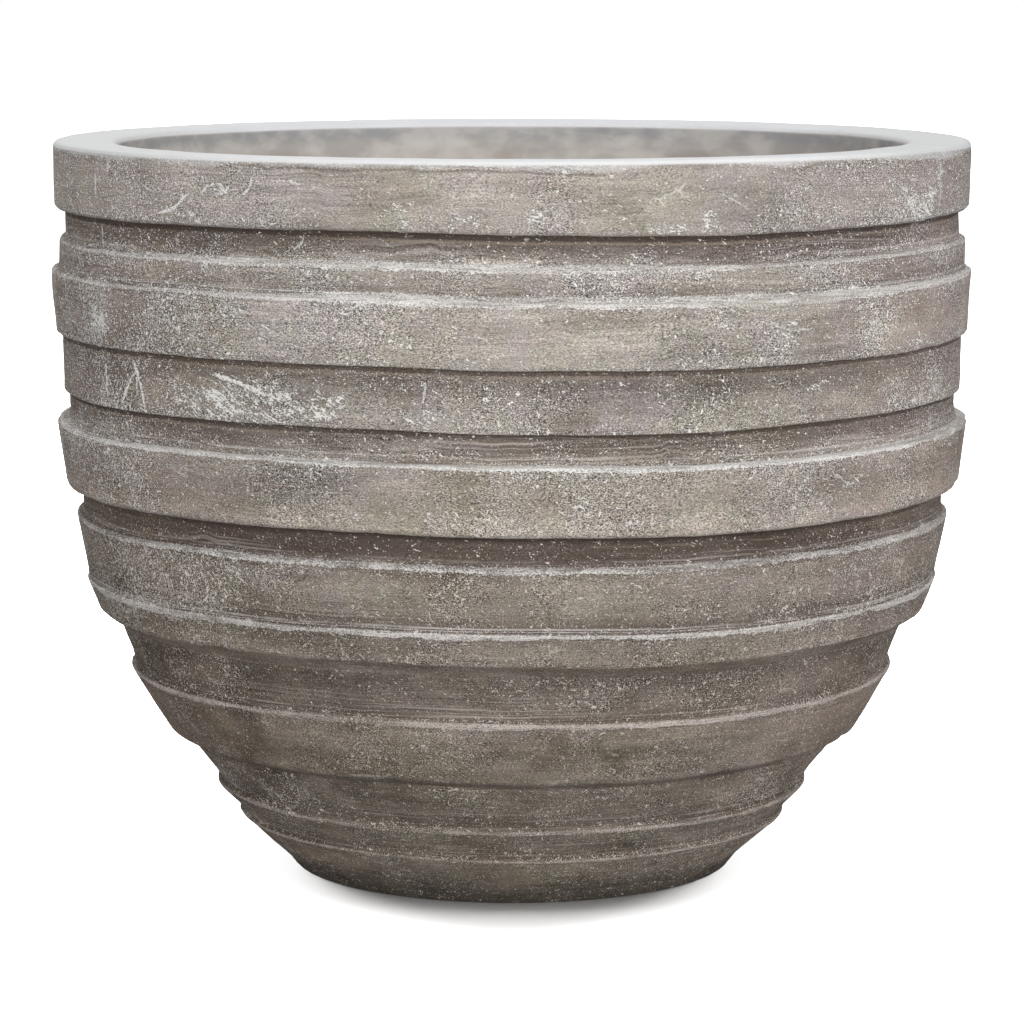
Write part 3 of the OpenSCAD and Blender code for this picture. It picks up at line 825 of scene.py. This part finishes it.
# A faint tan line below the corner, partly the clay's colour and partly painted light that lifts the shade under the
# overhang.
tan_line = times(times(fade(g.math("ABSOLUTE", plus(g.math("SUBTRACT", d_up, 1.65), off(ragged_c, 1.0))), 0.2, 0.6), w_corner_shadow), g.span(plus(long_groove, off(wobble_noise, 0.8)), 0.44, 0.60))
clay = g.mix(times(tan_line, 0.45), clay, rgb(160, 143, 122))
# Painted shade and light at sharp lower edges: a dark line just under the edge, then a lighter strip further along the
# underside.
sharp = g.span(w_corner_shadow, 0.88, 1.0)
d_edge = g.attr("below_low")
edge_shade_line = times(fade(d_edge, 0.6, 1.1), times(sharp, -0.45))
shade_lift = times(times(g.span(d_edge, 0.9, 1.5), g.span(d_edge, 3.2, 4.6, 1.0, 0.0)), times(sharp, 0.38))
clay = g.dim(clay, plus(plus(edge_shade_line, shade_lift), 1.0))

# Darker on the wall above a ledge, strongest in the corner behind it.
above_ledge_dark = times(fade(g.math("DIVIDE", d_in, g.span(wobble_noise, 0.3, 0.7, 6.0, 13.0, "LINEAR")), 0.0, 1.0), g.attr("back_dark"))
clay = g.mix(times(above_ledge_dark, g.span(d_in, -3.5, 0.0)), clay, rgb(80, 68, 61))

# Fine light and dark lines along the grooves.
combed = g.noise(g.place(FLOW, (11, 11, 920), (4, 8, 5)), 1.0, 2.0, 0.55)
in_groove = times(fade(d_in, 7.0, 14.0), g.span(long_groove, 0.36, 0.60, 0.15, 1.0))
clay = g.mix(times(times(g.span(combed, 0.55, 0.66), in_groove), g.math("MULTIPLY_ADD", overhang_shade, -0.34, 0.40)), clay, rgb(188, 180, 172))
clay = g.mix(times(times(g.span(combed, 0.43, 0.34), in_groove), 0.34), clay, rgb(82, 71, 65))

a_comb = g.attr("comb")
clay = g.mix(times(times(g.span(combed, 0.51, 0.60), a_comb), 0.70), clay, rgb(192, 184, 177))
clay = g.mix(times(times(g.span(combed, 0.45, 0.38), a_comb), 0.45), clay, rgb(84, 73, 67))

# Light crumbs with dark rims of painted shade: short bent strokes, dots and larger flakes,
# thickest under the ledges, on the lower edges and in the scuffs.
near_ledge = times(times(fade(d_top, 0.5, 8.0), w_ledge), g.span(level_z, 0.15, 0.35, 0.35, 1.0))
near_low = times(fade(d_low, 0.5, 5.5), g.span(level_z, 0.22, 0.40))
knot = g.noise(SPOT, 62.0, 3.0, 0.6, seed=2.9)
knots = times(g.span(plus(knot, times(off(cluster, 1.0), 0.5)), 0.58, 0.74), g.math("MULTIPLY_ADD", a_rim, -0.25, 1.0))
crowd = plus(plus(times(g.math("POWER", rough_area, 1.8), 0.52), times(knots, 0.42)), plus(plus(times(near_ledge, 0.20), 0.13), times(near_low, 0.28)))
crowd = plus(crowd, times(g.span(level_z, 0.32, 0.37, 0.0, 0.13), g.span(level_z, 0.50, 0.55, 1.0, 0.0)))
crowd = plus(plus(crowd, times(a_lime, 0.25)), plus(g.span(level_z, 0.30, 0.50, 0.05, 0.0), plus(times(g.span(side_x, -0.4, -0.8, 0.0, 0.26), g.span(level_z, 0.25, 0.45)), g.span(side_x, 0.4, 0.8, 0.0, 0.10))))
crowd = plus(crowd, times(a_rim, g.span(side_n, 0.3, 0.7, -0.22, 0.10)))
crowd = times(crowd, times(g.span(level_z, 0.0, 0.075, 0.25, 1.0), g.math("MULTIPLY_ADD", times(overhang_shade_mask, overhang_shade_mask), -0.88, 1.0)))
crowd = times(crowd, g.span(d_up, 0.1, 1.3))
crowd = g.math("SUBTRACT", crowd, times(a_in, 0.9), clamp=True)


def crumbs(scale, shift, long, thin, bend, share):
    """Marks of at most one to a cell, with sizes in shares of the cell: the light
    middles and the dark rims of painted shade round them."""
    place = g.place(SHEET, (scale, scale, 1.0), (shift, 0.7 * shift, 0.0))
    cell = g.add("ShaderNodeTexVoronoi", voronoi_dimensions="2D", feature="F1")
    g.put(cell.inputs["Vector"], place)
    cell.inputs["Scale"].default_value = 1.0
    cell.inputs["Randomness"].default_value = 0.95
    luck = g.add("ShaderNodeSeparateColor")
    g.put(luck.inputs[0], cell.outputs["Color"])
    away = g.add("ShaderNodeVectorMath", operation="SUBTRACT")
    g.put(away.inputs[0], place)
    g.put(away.inputs[1], cell.outputs["Position"])
    spin = g.add("ShaderNodeVectorRotate", rotation_type="Z_AXIS")
    g.put(spin.inputs["Vector"], away.outputs[0])
    g.put(spin.inputs["Angle"], times(luck.outputs[0], 2 * math.pi))
    part = g.add("ShaderNodeSeparateXYZ")
    g.put(part.inputs[0], spin.outputs[0])
    a, b = part.outputs[0], part.outputs[1]
    b = plus(b, times(times(a, a), g.span(luck.outputs[2], 0, 1, -bend, bend, "LINEAR")))
    a = g.math("DIVIDE", a, g.span(luck.outputs[2], 0, 1, 0.5 * long, 1.2 * long, "LINEAR"))
    b = times(b, 1 / thin)
    room = g.math("SUBTRACT", plus(luck.outputs[1], times(crowd, share)), 1.0)
    size = times(g.span(room, 0.0, 0.18, 0.55, 1.1, "LINEAR"), g.span(side_n, 0.45, 0.90, 1.0, 1.4))
    d = g.math("DIVIDE", g.math("SQRT", plus(times(a, a), times(b, b))), size)
    there = g.math("GREATER_THAN", room, 0.0)
    light = times(g.span(d, 0.7, 1.2, 1.0, 0.0), g.span(luck.outputs[0], 0, 1, 0.45, 1.0, "LINEAR"))
    return times(light, there), times(g.span(d, 1.0, 2.4, 1.0, 0.0), there)


strokes, stroke_shade = crumbs(560.0, 3.7, 0.34, 0.12, 1.3, 0.62)
dots, dot_shade = crumbs(980.0, 8.3, 0.27, 0.24, 0.0, 0.85)
# Curls: pieces of the level lines of a soft noise, light, with a dark lower side that is a painted shadow.
curl = g.noise(g.place(SHEET, (300, 330, 1), (5.1, 2.3, 0)), 1.0, 2.0, 0.55, 0.5)
curl_at = g.noise(g.place(SHEET, (430, 430, 1), (1.7, 9.2, 0)), 1.0, 1.0, 0.5)
curl_on = g.span(g.math("SUBTRACT", curl_at, g.math("SUBTRACT", 0.71, times(crowd, 0.22))), 0.0, 0.03)
curls = times(fade(g.math("ABSOLUTE", off(curl, 1.0)), 0.016, 0.036), curl_on)
curl_shadow = times(fade(g.math("ABSOLUTE", plus(off(curl, 1.0), 0.045)), 0.02, 0.05), curl_on)
# Plates: the larger scabs of lime.
plate = g.noise(g.place(SHEET, (210, 260, 1), (3.9, 6.1, 0)), 1.0, 4.0, 0.62)
low_knots = times(knots, times(g.span(level_z, 0.60, 0.50), g.span(level_z, 0.06, 0.16)))
plate_cut = g.math("SUBTRACT", plate, g.math("SUBTRACT", 0.81, plus(times(crowd, 0.11), times(low_knots, 0.075))))
plates = g.span(plus(plate_cut, off(grain, 0.10)), 0.0, 0.02)
plate_shade = g.span(plate_cut, -0.04, 0.0)
flake_cut = g.math("SUBTRACT", 0.86, times(crowd, 0.21))
flakes = g.span(g.math("SUBTRACT", flake, flake_cut), 0.0, 0.02)
flake_shade = g.span(g.math("SUBTRACT", flake, flake_cut), -0.05, -0.01)
pits = times(g.span(flake, 0.325, 0.28), outside)
# Painted shade: dark rims round the crumbs, curls, plates and flakes, together with the dark pits.
pits_and_rim_shade = g.math("MAXIMUM", g.math("MAXIMUM", times(pits, 0.8), flake_shade), g.math("MAXIMUM", stroke_shade, dot_shade))
pits_and_rim_shade = g.math("MAXIMUM", pits_and_rim_shade, g.math("MAXIMUM", curl_shadow, times(plate_shade, 0.6)))
clay = g.dim(clay, g.math("MULTIPLY_ADD", times(pits_and_rim_shade, outside), -0.58, 1.0))
clay = g.mix(g.math("MAXIMUM", strokes, dots), clay, chalk)
clay = g.mix(times(g.math("MAXIMUM", g.math("MAXIMUM", curls, plates), times(flakes, 0.9)), outside), clay, chalk)

# Lime left on the ledges: soft and streaky or broken into crumbs, with a dark line in the
# corner behind and a second fine line above that, and here and there a dark line below.
ragged = g.noise(g.place(FLOW, (34, 34, 60), (1, 7, 3)), 1.0, 4.0, 0.65)
long_way = g.noise(g.place(FLOW, (7, 7, 20), (5, 3, 1)), 1.0, 2.0, 0.5)
dashes = g.noise(g.place(FLOW, (70, 70, 300), (8, 2, 6)), 1.0, 3.0, 0.6)
sway = off(ragged, 1.6)
low_side = plus(times(g.attr("ledge_low"), g.span(ragged, 0.32, 0.70, 0.2, 1.6, "LINEAR")), off(grain, 1.5))
on_face = times(g.span(g.math("SUBTRACT", low_side, d_top), -0.15, 0.25), times(g.span(d_top, -0.9, -0.2), w_ledge))
up_side = plus(plus(g.attr("back_up"), sway), off(grain, 1.2))
on_flat = times(g.span(g.math("SUBTRACT", up_side, d_in), -0.9, 0.3), g.math("SUBTRACT", g.attr("back_w"), a_in, clamp=True))
soft = g.span(plus(hair, off(grain, 0.7)), 0.34, 0.58, 0.40, 1.0)
crumbly = g.span(plus(grain, off(dashes, 0.5)), 0.46, 0.56, 0.08, 1.0)
broken = plus(soft, times(g.attr("ledge_crumb"), g.math("SUBTRACT", crumbly, soft)))
on_ledge = times(g.math("MAXIMUM", on_face, on_flat), broken)
on_ledge = times(on_ledge, g.span(plus(long_way, off(dashes, 0.5)), 0.32, 0.56, 0.35, 1.0))
ledge_tint = g.mix(g.span(level_z, 0.28, 0.50), rgb(203, 193, 187), rgb(237, 235, 231))
under_line = fade(g.math("ABSOLUTE", g.math("SUBTRACT", d_top, plus(low_side, 0.6))), 0.15, 0.6)
under_line = times(times(under_line, g.span(long_way, 0.50, 0.60)), g.span(dashes, 0.40, 0.52))
clay = g.mix(times(under_line, times(w_ledge, 0.5)), clay, rgb(74, 63, 57))
clay = g.mix(times(on_ledge, 0.92), clay, ledge_tint)
second = times(g.attr("back_second"), g.math("SUBTRACT", 1.0, a_in))
corner_light = fade(g.math("ABSOLUTE", g.math("SUBTRACT", d_in, plus(times(sway, 0.5), 1.5))), 0.2, 0.6)
corner_light = times(times(corner_light, second), g.span(plus(long_way, off(dashes, 0.4)), 0.40, 0.55))
corner_dark = times(fade(g.math("ABSOLUTE", d_in), 0.25, 0.75), times(second, g.span(dashes, 0.42, 0.54)))
clay = g.mix(times(corner_light, 0.9), clay, ledge_tint)
clay = g.mix(times(corner_dark, 0.8), clay, rgb(70, 60, 54))

# Scuffs on the bands, ragged and fibrous, and thin scratches.
scuff = g.noise(g.place(FLOW, (170, 170, 280), (7, 7, 2)), 1.0, 5.0, 0.78)
slant = g.add("ShaderNodeVectorRotate", rotation_type="Z_AXIS")
g.put(slant.inputs["Vector"], SHEET)
slant.inputs["Angle"].default_value = math.radians(27)
fibre = g.noise(g.place(slant.outputs[0], (200, 860, 1), (2.2, 4.4, 0)), 1.0, 3.0, 0.6)
scuffed = plus(plus(times(a_lime, 0.42), off(scuff, 1.5)), plus(plus(off(grain, 1.3), off(flake, 0.7)), off(fibre, 2.1)))
clay = g.dim(clay, g.math("MULTIPLY_ADD", times(g.span(scuffed, 0.20, 0.33), g.span(a_lime, 0.1, 0.4)), -0.25, 1.0))
clay = g.mix(times(g.span(scuffed, 0.16, 0.50), times(g.span(a_lime, 0.1, 0.5), 0.42)), clay, rgb(214, 213, 205))
scuffed = g.span(scuffed, 0.43, 0.53)
clay = g.mix(times(scuffed, 0.96), clay, chalk)
score = plus(g.attr("scratch_d"), plus(plus(off(flake, 2.4), off(scuff, 2.0)), off(grain, 1.2)))
score = g.math("SUBTRACT", g.math("ABSOLUTE", score), times(g.attr("scratch_size"), g.span(ragged, 0.3, 0.7, 0.15, 0.75, "LINEAR")))
score_rim = times(g.span(score, 0.2, 0.9, 1.0, 0.0), g.span(g.attr("scratch_w"), 0.1, 0.5))
clay = g.dim(clay, g.math("MULTIPLY_ADD", score_rim, -0.25, 1.0))
score = times(g.span(score, 0.0, 0.35, 1.0, 0.0), times(g.attr("scratch_w"), g.span(plus(grain, off(flake, 0.5)), 0.36, 0.48, 0.25, 1.0)))
clay = g.mix(g.math("MULTIPLY", score, 1.15, clamp=True), clay, chalk)

# Thin curling veins of lime.
bent = g.add("ShaderNodeVectorMath", operation="MULTIPLY_ADD")
swirl = g.add("ShaderNodeTexNoise")
swirl.inputs["Scale"].default_value = 70.0
swirl.inputs["Detail"].default_value = 2.0
g.put(swirl.inputs["Vector"], P)
g.put(bent.inputs[0], swirl.outputs["Color"])
bent.inputs[1].default_value = (0.02, 0.02, 0.02)
g.put(bent.inputs[2], P)
vein = g.cells(bent.outputs[0], 58.0, "DISTANCE_TO_EDGE")
veins = times(fade(plus(vein, off(grain, 0.03)), 0.006, 0.026), g.span(plus(stain, times(a_lime, 0.10)), 0.60, 0.70))
clay = g.mix(times(veins, times(outside, 0.6)), clay, chalk)

# The lip is rubbed with lime nearly everywhere, and a thin veil of it runs over the edge.
spill = g.noise(g.place(FLOW, (20, 20, 20), (6, 6, 6)), 1.0, 3.0, 0.6)
lip_edge_w = plus(g.span(spill, 0.34, 0.70, 0.6, 4.6, "LINEAR"), off(grain, 0.6))
lip_gap = g.math("SUBTRACT", lip_edge_w, d_top)
veil = times(g.span(lip_gap, -0.4, 1.6), g.span(plus(brush, off(grain, 0.2)), 0.35, 0.62, 0.30, 0.68))
lip_mask = g.math("MAXIMUM", veil, fade(plus(d_top, off(grain, 0.6)), 0.1, 1.1))
lip_mask = g.math("MAXIMUM", a_lip, times(lip_mask, a_rim))
lip_shade = times(times(g.span(g.math("ABSOLUTE", plus(lip_gap, 0.9)), 0.2, 0.8, 1.0, 0.0), g.span(long_way, 0.48, 0.58)), a_rim)
clay = g.mix(times(lip_shade, 0.40), clay, rgb(84, 76, 70))
# Lime on the lip, palest at the front: painted light on the front of the lip.
lip_lime_and_light = g.mix(g.span(back_n, 0.2, 0.9), rgb(219, 220, 219), rgb(225, 226, 228))
lip_lime_and_light = g.mix(g.span(back_n, -0.55, -0.92), lip_lime_and_light, rgb(229, 229, 229))
lip_lime_and_light = g.dim(lip_lime_and_light, g.span(patch, 0.35, 0.65, 0.975, 1.01))
lip_lime_and_light = g.dim(lip_lime_and_light, g.span(grain, 0.3, 0.7, 0.98, 1.02, "LINEAR"))
clay = g.mix(times(lip_mask, 0.95), clay, lip_lime_and_light)

# Soft grey, pale and brownish clouds inside, with a blue grey line under the lip.
inner_cloud = g.noise(g.place(P, (1, 1, 1.7)), 46.0, 4.0, 0.55)
inner_tint = g.mix(g.span(inner_cloud, 0.34, 0.66), rgb(178, 173, 168), rgb(206, 201, 195))
brown = g.noise(g.place(P, (1, 1, 1.5), (0.3, 0.7, 0.2)), 26.0, 3.0, 0.6)
brown = times(g.span(plus(brown, times(xyz_node.outputs[0], -0.7)), 0.44, 0.62), g.span(d_in, 40.0, 110.0, 1.0, 0.6))
inner_tint = g.mix(times(g.span(d_in, 7.0, 20.0), brown), inner_tint, rgb(168, 155, 144))
inner_mask = times(a_in, g.math("SUBTRACT", 1.0, a_lip))
clay = g.mix(times(inner_mask, 0.94), clay, inner_tint)
clay = g.mix(times(times(fade(d_in, 1.0, 9.0), inner_mask), g.span(inner_cloud, 0.36, 0.64, 0.70, 0.35)), clay, rgb(143, 146, 150))
# Painted shade: the inside is darker towards the floor of the bowl.
clay = g.dim(clay, g.math("MULTIPLY_ADD", times(a_in, g.span(height_z, 0.03, 0.25, 0.35, 0.0)), -1.0, 1.0))

# Fine grain and turning marks deeper inside.
turning = plus(plus(off(grain, 1.3), off(flake, 0.7)), plus(off(brush, 0.6), off(hair, 0.5)))
clay = g.dim(clay, g.math("MULTIPLY_ADD", turning, times(inner_mask, g.span(d_in, 18.0, 50.0)), 1.0))

height = plus(times(grain, 0.55), plus(times(flake, 0.60), times(hair, 0.25)))
height = times(height, times(outside, g.math("MULTIPLY_ADD", a_lip, -0.8, 1.0)))
rough = g.span(patch, 0.3, 0.7, 0.84, 0.95, "LINEAR")
g.surface(clay, rough, height, 0.9, 0.8, 0.28)
mesh.materials.append(g.mat)
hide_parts("pot_shell")
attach(pot, "pot")


# ---------------------------------------------------------------- the rubber plug

PLUG_SIDES = 128
turn = np.linspace(0, 2 * math.pi, PLUG_SIDES, endpoint=False)
plug_line = [(0.0, 6.0), (5.0, 6.0), (9.4, 6.05), (10.9, 6.25), (12.2, 6.55), (13.0, 7.0), (13.5, 7.9), (13.7, 9.0)]
pitch = 4.8
for k in range(4):
    z = 9.0 + k * pitch
    plug_line += [(13.7, z + 0.5), (13.85, z + 0.9), (14.5, z + 1.45), (14.86, z + 1.85), (14.9, z + 2.4)]
    plug_line += [(14.86, z + 2.95), (14.5, z + 3.35), (13.85, z + 3.9), (13.7, z + 4.3)]
plug_line += [(13.7, 28.0), (13.9, 28.2), (16.5, 28.2), (19.5, 28.2), (22.2, 28.22), (22.75, 28.42), (23.0, 28.9)]
plug_line += [(23.0, 29.5), (22.7, 30.2), (21.9, 30.75), (19.5, 31.5), (16.1, 32.3), (12.0, 32.8), (8.6, 33.15), (7.0, 33.6)]
plug_line += [(5.9, 34.5), (5.2, 36.0), (5.0, 37.6), (5.1, 38.9), (5.6, 39.9)]
plug_line += [(4.5 + 4.5 * math.cos(a), 43.7 + 4.5 * math.sin(a)) for a in np.radians(np.arange(-56, 75, 13))]
plug_line += [(4.2, 48.1), (2.6, 47.9), (1.2, 47.7), (0.0, 47.65)]
line = np.array(plug_line)
knob = np.clip((line[:, 0] - 6.6) / 2.0, 0, 1) * (line[:, 1] > 39.5)
ridges = -0.38 * (0.5 - 0.5 * np.cos(16 * turn)) ** 2
seam = 0.12 * (np.exp(-((np.sin(turn)) / 0.03) ** 2))
flange = ((line[:, 1] > 28.6) & (line[:, 1] < 31.0) & (line[:, 0] > 21)) * 1.0
pr = line[1:-1, 0][:, None] + knob[1:-1][:, None] * ridges[None] - flange[1:-1][:, None] * 0.12 + flange[1:-1][:, None] * seam[None]
pz = np.repeat(line[1:-1, 1][:, None], PLUG_SIDES, 1)
count = len(pr)
pv = np.stack([pr * np.sin(turn), -pr * np.cos(turn), pz], -1).reshape(-1, 3)
pv = np.concatenate([pv, [[0, 0, line[0, 1]], [0, 0, line[-1, 1]]]]) * MM
pidx = np.arange(count * PLUG_SIDES).reshape(count, PLUG_SIDES)
pr_next = np.roll(pidx, -1, 1)
pf = np.stack([pidx[:-1], pr_next[:-1], pr_next[1:], pidx[1:]], -1).reshape(-1, 4).tolist()
bottom, top = count * PLUG_SIDES, count * PLUG_SIDES + 1
pf += [(bottom, int(b), int(a)) for a, b in zip(pidx[0], pr_next[0])]
pf += [(top, int(a), int(b)) for a, b in zip(pidx[-1], pr_next[-1])]
plug_mesh = bpy.data.meshes.new("drain_plug_mesh")
plug_mesh.from_pydata(pv.tolist(), [], pf)
plug_mesh.polygons.foreach_set("use_smooth", np.ones(len(pf), bool))
dust = np.concatenate([np.repeat(np.clip((14.4 - line[1:-1, 0]) / 0.7, 0, 1) * (line[1:-1, 1] < 28), PLUG_SIDES), [0, 0]])
plug_mesh.attributes.new("groove", "FLOAT", "POINT").data.foreach_set("value", dust.astype(np.float32))
plug_mesh.validate()
plug = bpy.data.objects.new("rubber_plug", plug_mesh)
scene.collection.objects.link(plug)

p = Nodes("moulded_rubber")
P = p.add("ShaderNodeTexCoord").outputs["Object"]
bloom = p.noise(P, 120.0, 5.0, 0.65)
fine = p.noise(P, 2600.0, 2.0, 0.5)
scratch = p.noise(p.place(P, (900, 900, 60)), 1.0, 3.0, 0.6)
groove = p.attr("groove")
black = p.mix(p.span(bloom, 0.35, 0.70), rgb(38, 37, 36), rgb(58, 56, 54))
powder = p.span(p.math("MULTIPLY_ADD", groove, 0.16, p.noise(P, 340.0, 4.0, 0.7)), 0.58, 0.78)
black = p.mix(p.math("MULTIPLY", powder, 0.55), black, rgb(142, 132, 122))
black = p.mix(p.math("MULTIPLY", p.span(scratch, 0.62, 0.75), 0.25), black, rgb(96, 92, 88))
plug_rough = p.math("MULTIPLY_ADD", powder, 0.25, p.span(bloom, 0.3, 0.7, 0.52, 0.66, "LINEAR"))
p.surface(black, plug_rough, p.math("MULTIPLY_ADD", powder, 0.5, fine), 0.12, 0.5, 0.4)
plug_mesh.materials.append(p.mat)
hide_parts("drain_plug")
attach(plug, "plug")


# ---------------------------------------------------------------- floor, light and camera

SWEEP = 40.0  # radius of the floor, which ends at a white wall
turns = np.linspace(0, 2 * math.pi, 96, endpoint=False)
edge = [(SWEEP * math.cos(a), SWEEP * math.sin(a), 0.0) for a in turns]
floor_mesh = bpy.data.meshes.new("floor_mesh")
floor_mesh.from_pydata(edge, [], [tuple(range(96))])
floor = bpy.data.objects.new("studio_floor", floor_mesh)
wall_mesh = bpy.data.meshes.new("wall_mesh")
wall_mesh.from_pydata(edge + [(x, y, SWEEP) for x, y, z in edge], [], [(k, 96 + k, 96 + (k + 1) % 96, (k + 1) % 96) for k in range(96)])
wall = bpy.data.objects.new("studio_wall", wall_mesh)

f = Nodes("pale_floor")
P = f.add("ShaderNodeTexCoord").outputs["Object"]
away = f.add("ShaderNodeVectorMath", operation="LENGTH")
f.put(away.inputs[0], P)
tint = f.mix(f.noise(P, 3.0, 3.0, 0.5), (0.90, 0.90, 0.90), (0.93, 0.93, 0.93))
shine = f.surface(tint, 0.9, f.noise(P, 400.0, 2.0, 0.5), 0.05, 0.2, 0.0)
shine.inputs["Emission Color"].default_value = (1, 1, 1, 1)
f.put(shine.inputs["Emission Strength"], f.span(away.outputs["Value"], 0.20, 0.55, 0.0, 1.0))
floor_mesh.materials.append(f.mat)
w = Nodes("white_wall")
glow = w.add("ShaderNodeEmission")
glow.inputs["Strength"].default_value = 1.0
w.tree.links.new(glow.outputs[0], w.add("ShaderNodeOutputMaterial").inputs["Surface"])
wall_mesh.materials.append(w.mat)
for stage in (floor, wall):
    scene.collection.objects.link(stage)
    stage.visible_diffuse = stage.visible_glossy = stage.visible_shadow = False

world = bpy.data.worlds.new("studio")
scene.world = world
world.use_nodes = True
wt = world.node_tree
wt.nodes.clear()
coord = wt.nodes.new("ShaderNodeTexCoord")
split = wt.nodes.new("ShaderNodeSeparateXYZ")
wt.links.new(coord.outputs["Generated"], split.inputs[0])
half_up = wt.nodes.new("ShaderNodeMath")
half_up.operation = "MULTIPLY_ADD"
half_up.inputs[1].default_value = 0.5
half_up.inputs[2].default_value = 0.5
wt.links.new(split.outputs[2], half_up.inputs[0])
sky = wt.nodes.new("ShaderNodeValToRGB")
stops = [(0.0, 0.36), (0.25, 0.37), (0.46, 0.35), (0.54, 0.37), (0.75, 0.56), (1.0, 0.95)]
while len(sky.color_ramp.elements) < len(stops):
    sky.color_ramp.elements.new(0.5)
for e, (place, value) in zip(sky.color_ramp.elements, stops):
    e.position, e.color = place, (value, value, value * 1.02, 1)
wt.links.new(half_up.outputs[0], sky.inputs[0])
back = wt.nodes.new("ShaderNodeBackground")
back.inputs["Strength"].default_value = 1.0
wt.links.new(sky.outputs[0], back.inputs["Color"])
out = wt.nodes.new("ShaderNodeOutputWorld")
wt.links.new(back.outputs[0], out.inputs["Surface"])


def only(name, *objects):
    """A set of objects that a lamp lights alone."""
    group = bpy.data.collections.new(name)
    for o in objects:
        group.objects.link(o)
    return group


on_object, on_floor = only("lit_object", pot, plug), only("lit_floor", floor)


def softbox(name, place, aim, size, watts, lights):
    data = bpy.data.lights.new(name, "AREA")
    data.shape, data.size, data.size_y = "RECTANGLE", size[0], size[1]
    data.energy = watts
    lamp = bpy.data.objects.new(name, data)
    scene.collection.objects.link(lamp)
    lamp.location = place
    way = np.array(aim, float) - np.array(place, float)
    yaw = math.atan2(way[1], way[0])
    tilt = math.atan2(math.hypot(way[0], way[1]), -way[2])
    lamp.rotation_euler = (tilt, 0, yaw - math.pi / 2)
    lamp.visible_camera = False
    lamp.light_linking.receiver_collection = lights
    return lamp


softbox("key_front", (0.58, -2.73, 0.80), (0, 0, 0.2), (1.5, 0.8), 52, on_object)
softbox("fill_back", (-0.8, 2.6, 1.5), (0, 0, 0.2), (2.0, 1.4), 30, on_object)
softbox("floor_left", (-1.65, 1.65, 0.75), (0, 0, 0), (1.2, 0.7), 175, on_floor)
softbox("floor_right", (1.65, 1.65, 0.75), (0, 0, 0), (1.2, 0.7), 175, on_floor)
softbox("floor_front", (0, -1.05, 1.95), (0, -0.1, 0), (1.6, 0.75), 48, on_floor)

cam_data = bpy.data.cameras.new("camera")
cam = bpy.data.objects.new("camera", cam_data)
scene.collection.objects.link(cam)
cam_data.sensor_width = 36.0
cam_data.lens = 4037.0 / 1024.0 * 36.0
cam_data.clip_start, cam_data.clip_end = 0.05, 200.0
cam.location = (0.0, -1.9, 0.4236)
cam.rotation_euler = (math.pi / 2 - 0.135, 0.0, 0.0)
scene.camera = cam
scene.view_settings.view_transform = "Standard"
scene.view_settings.look = "None"
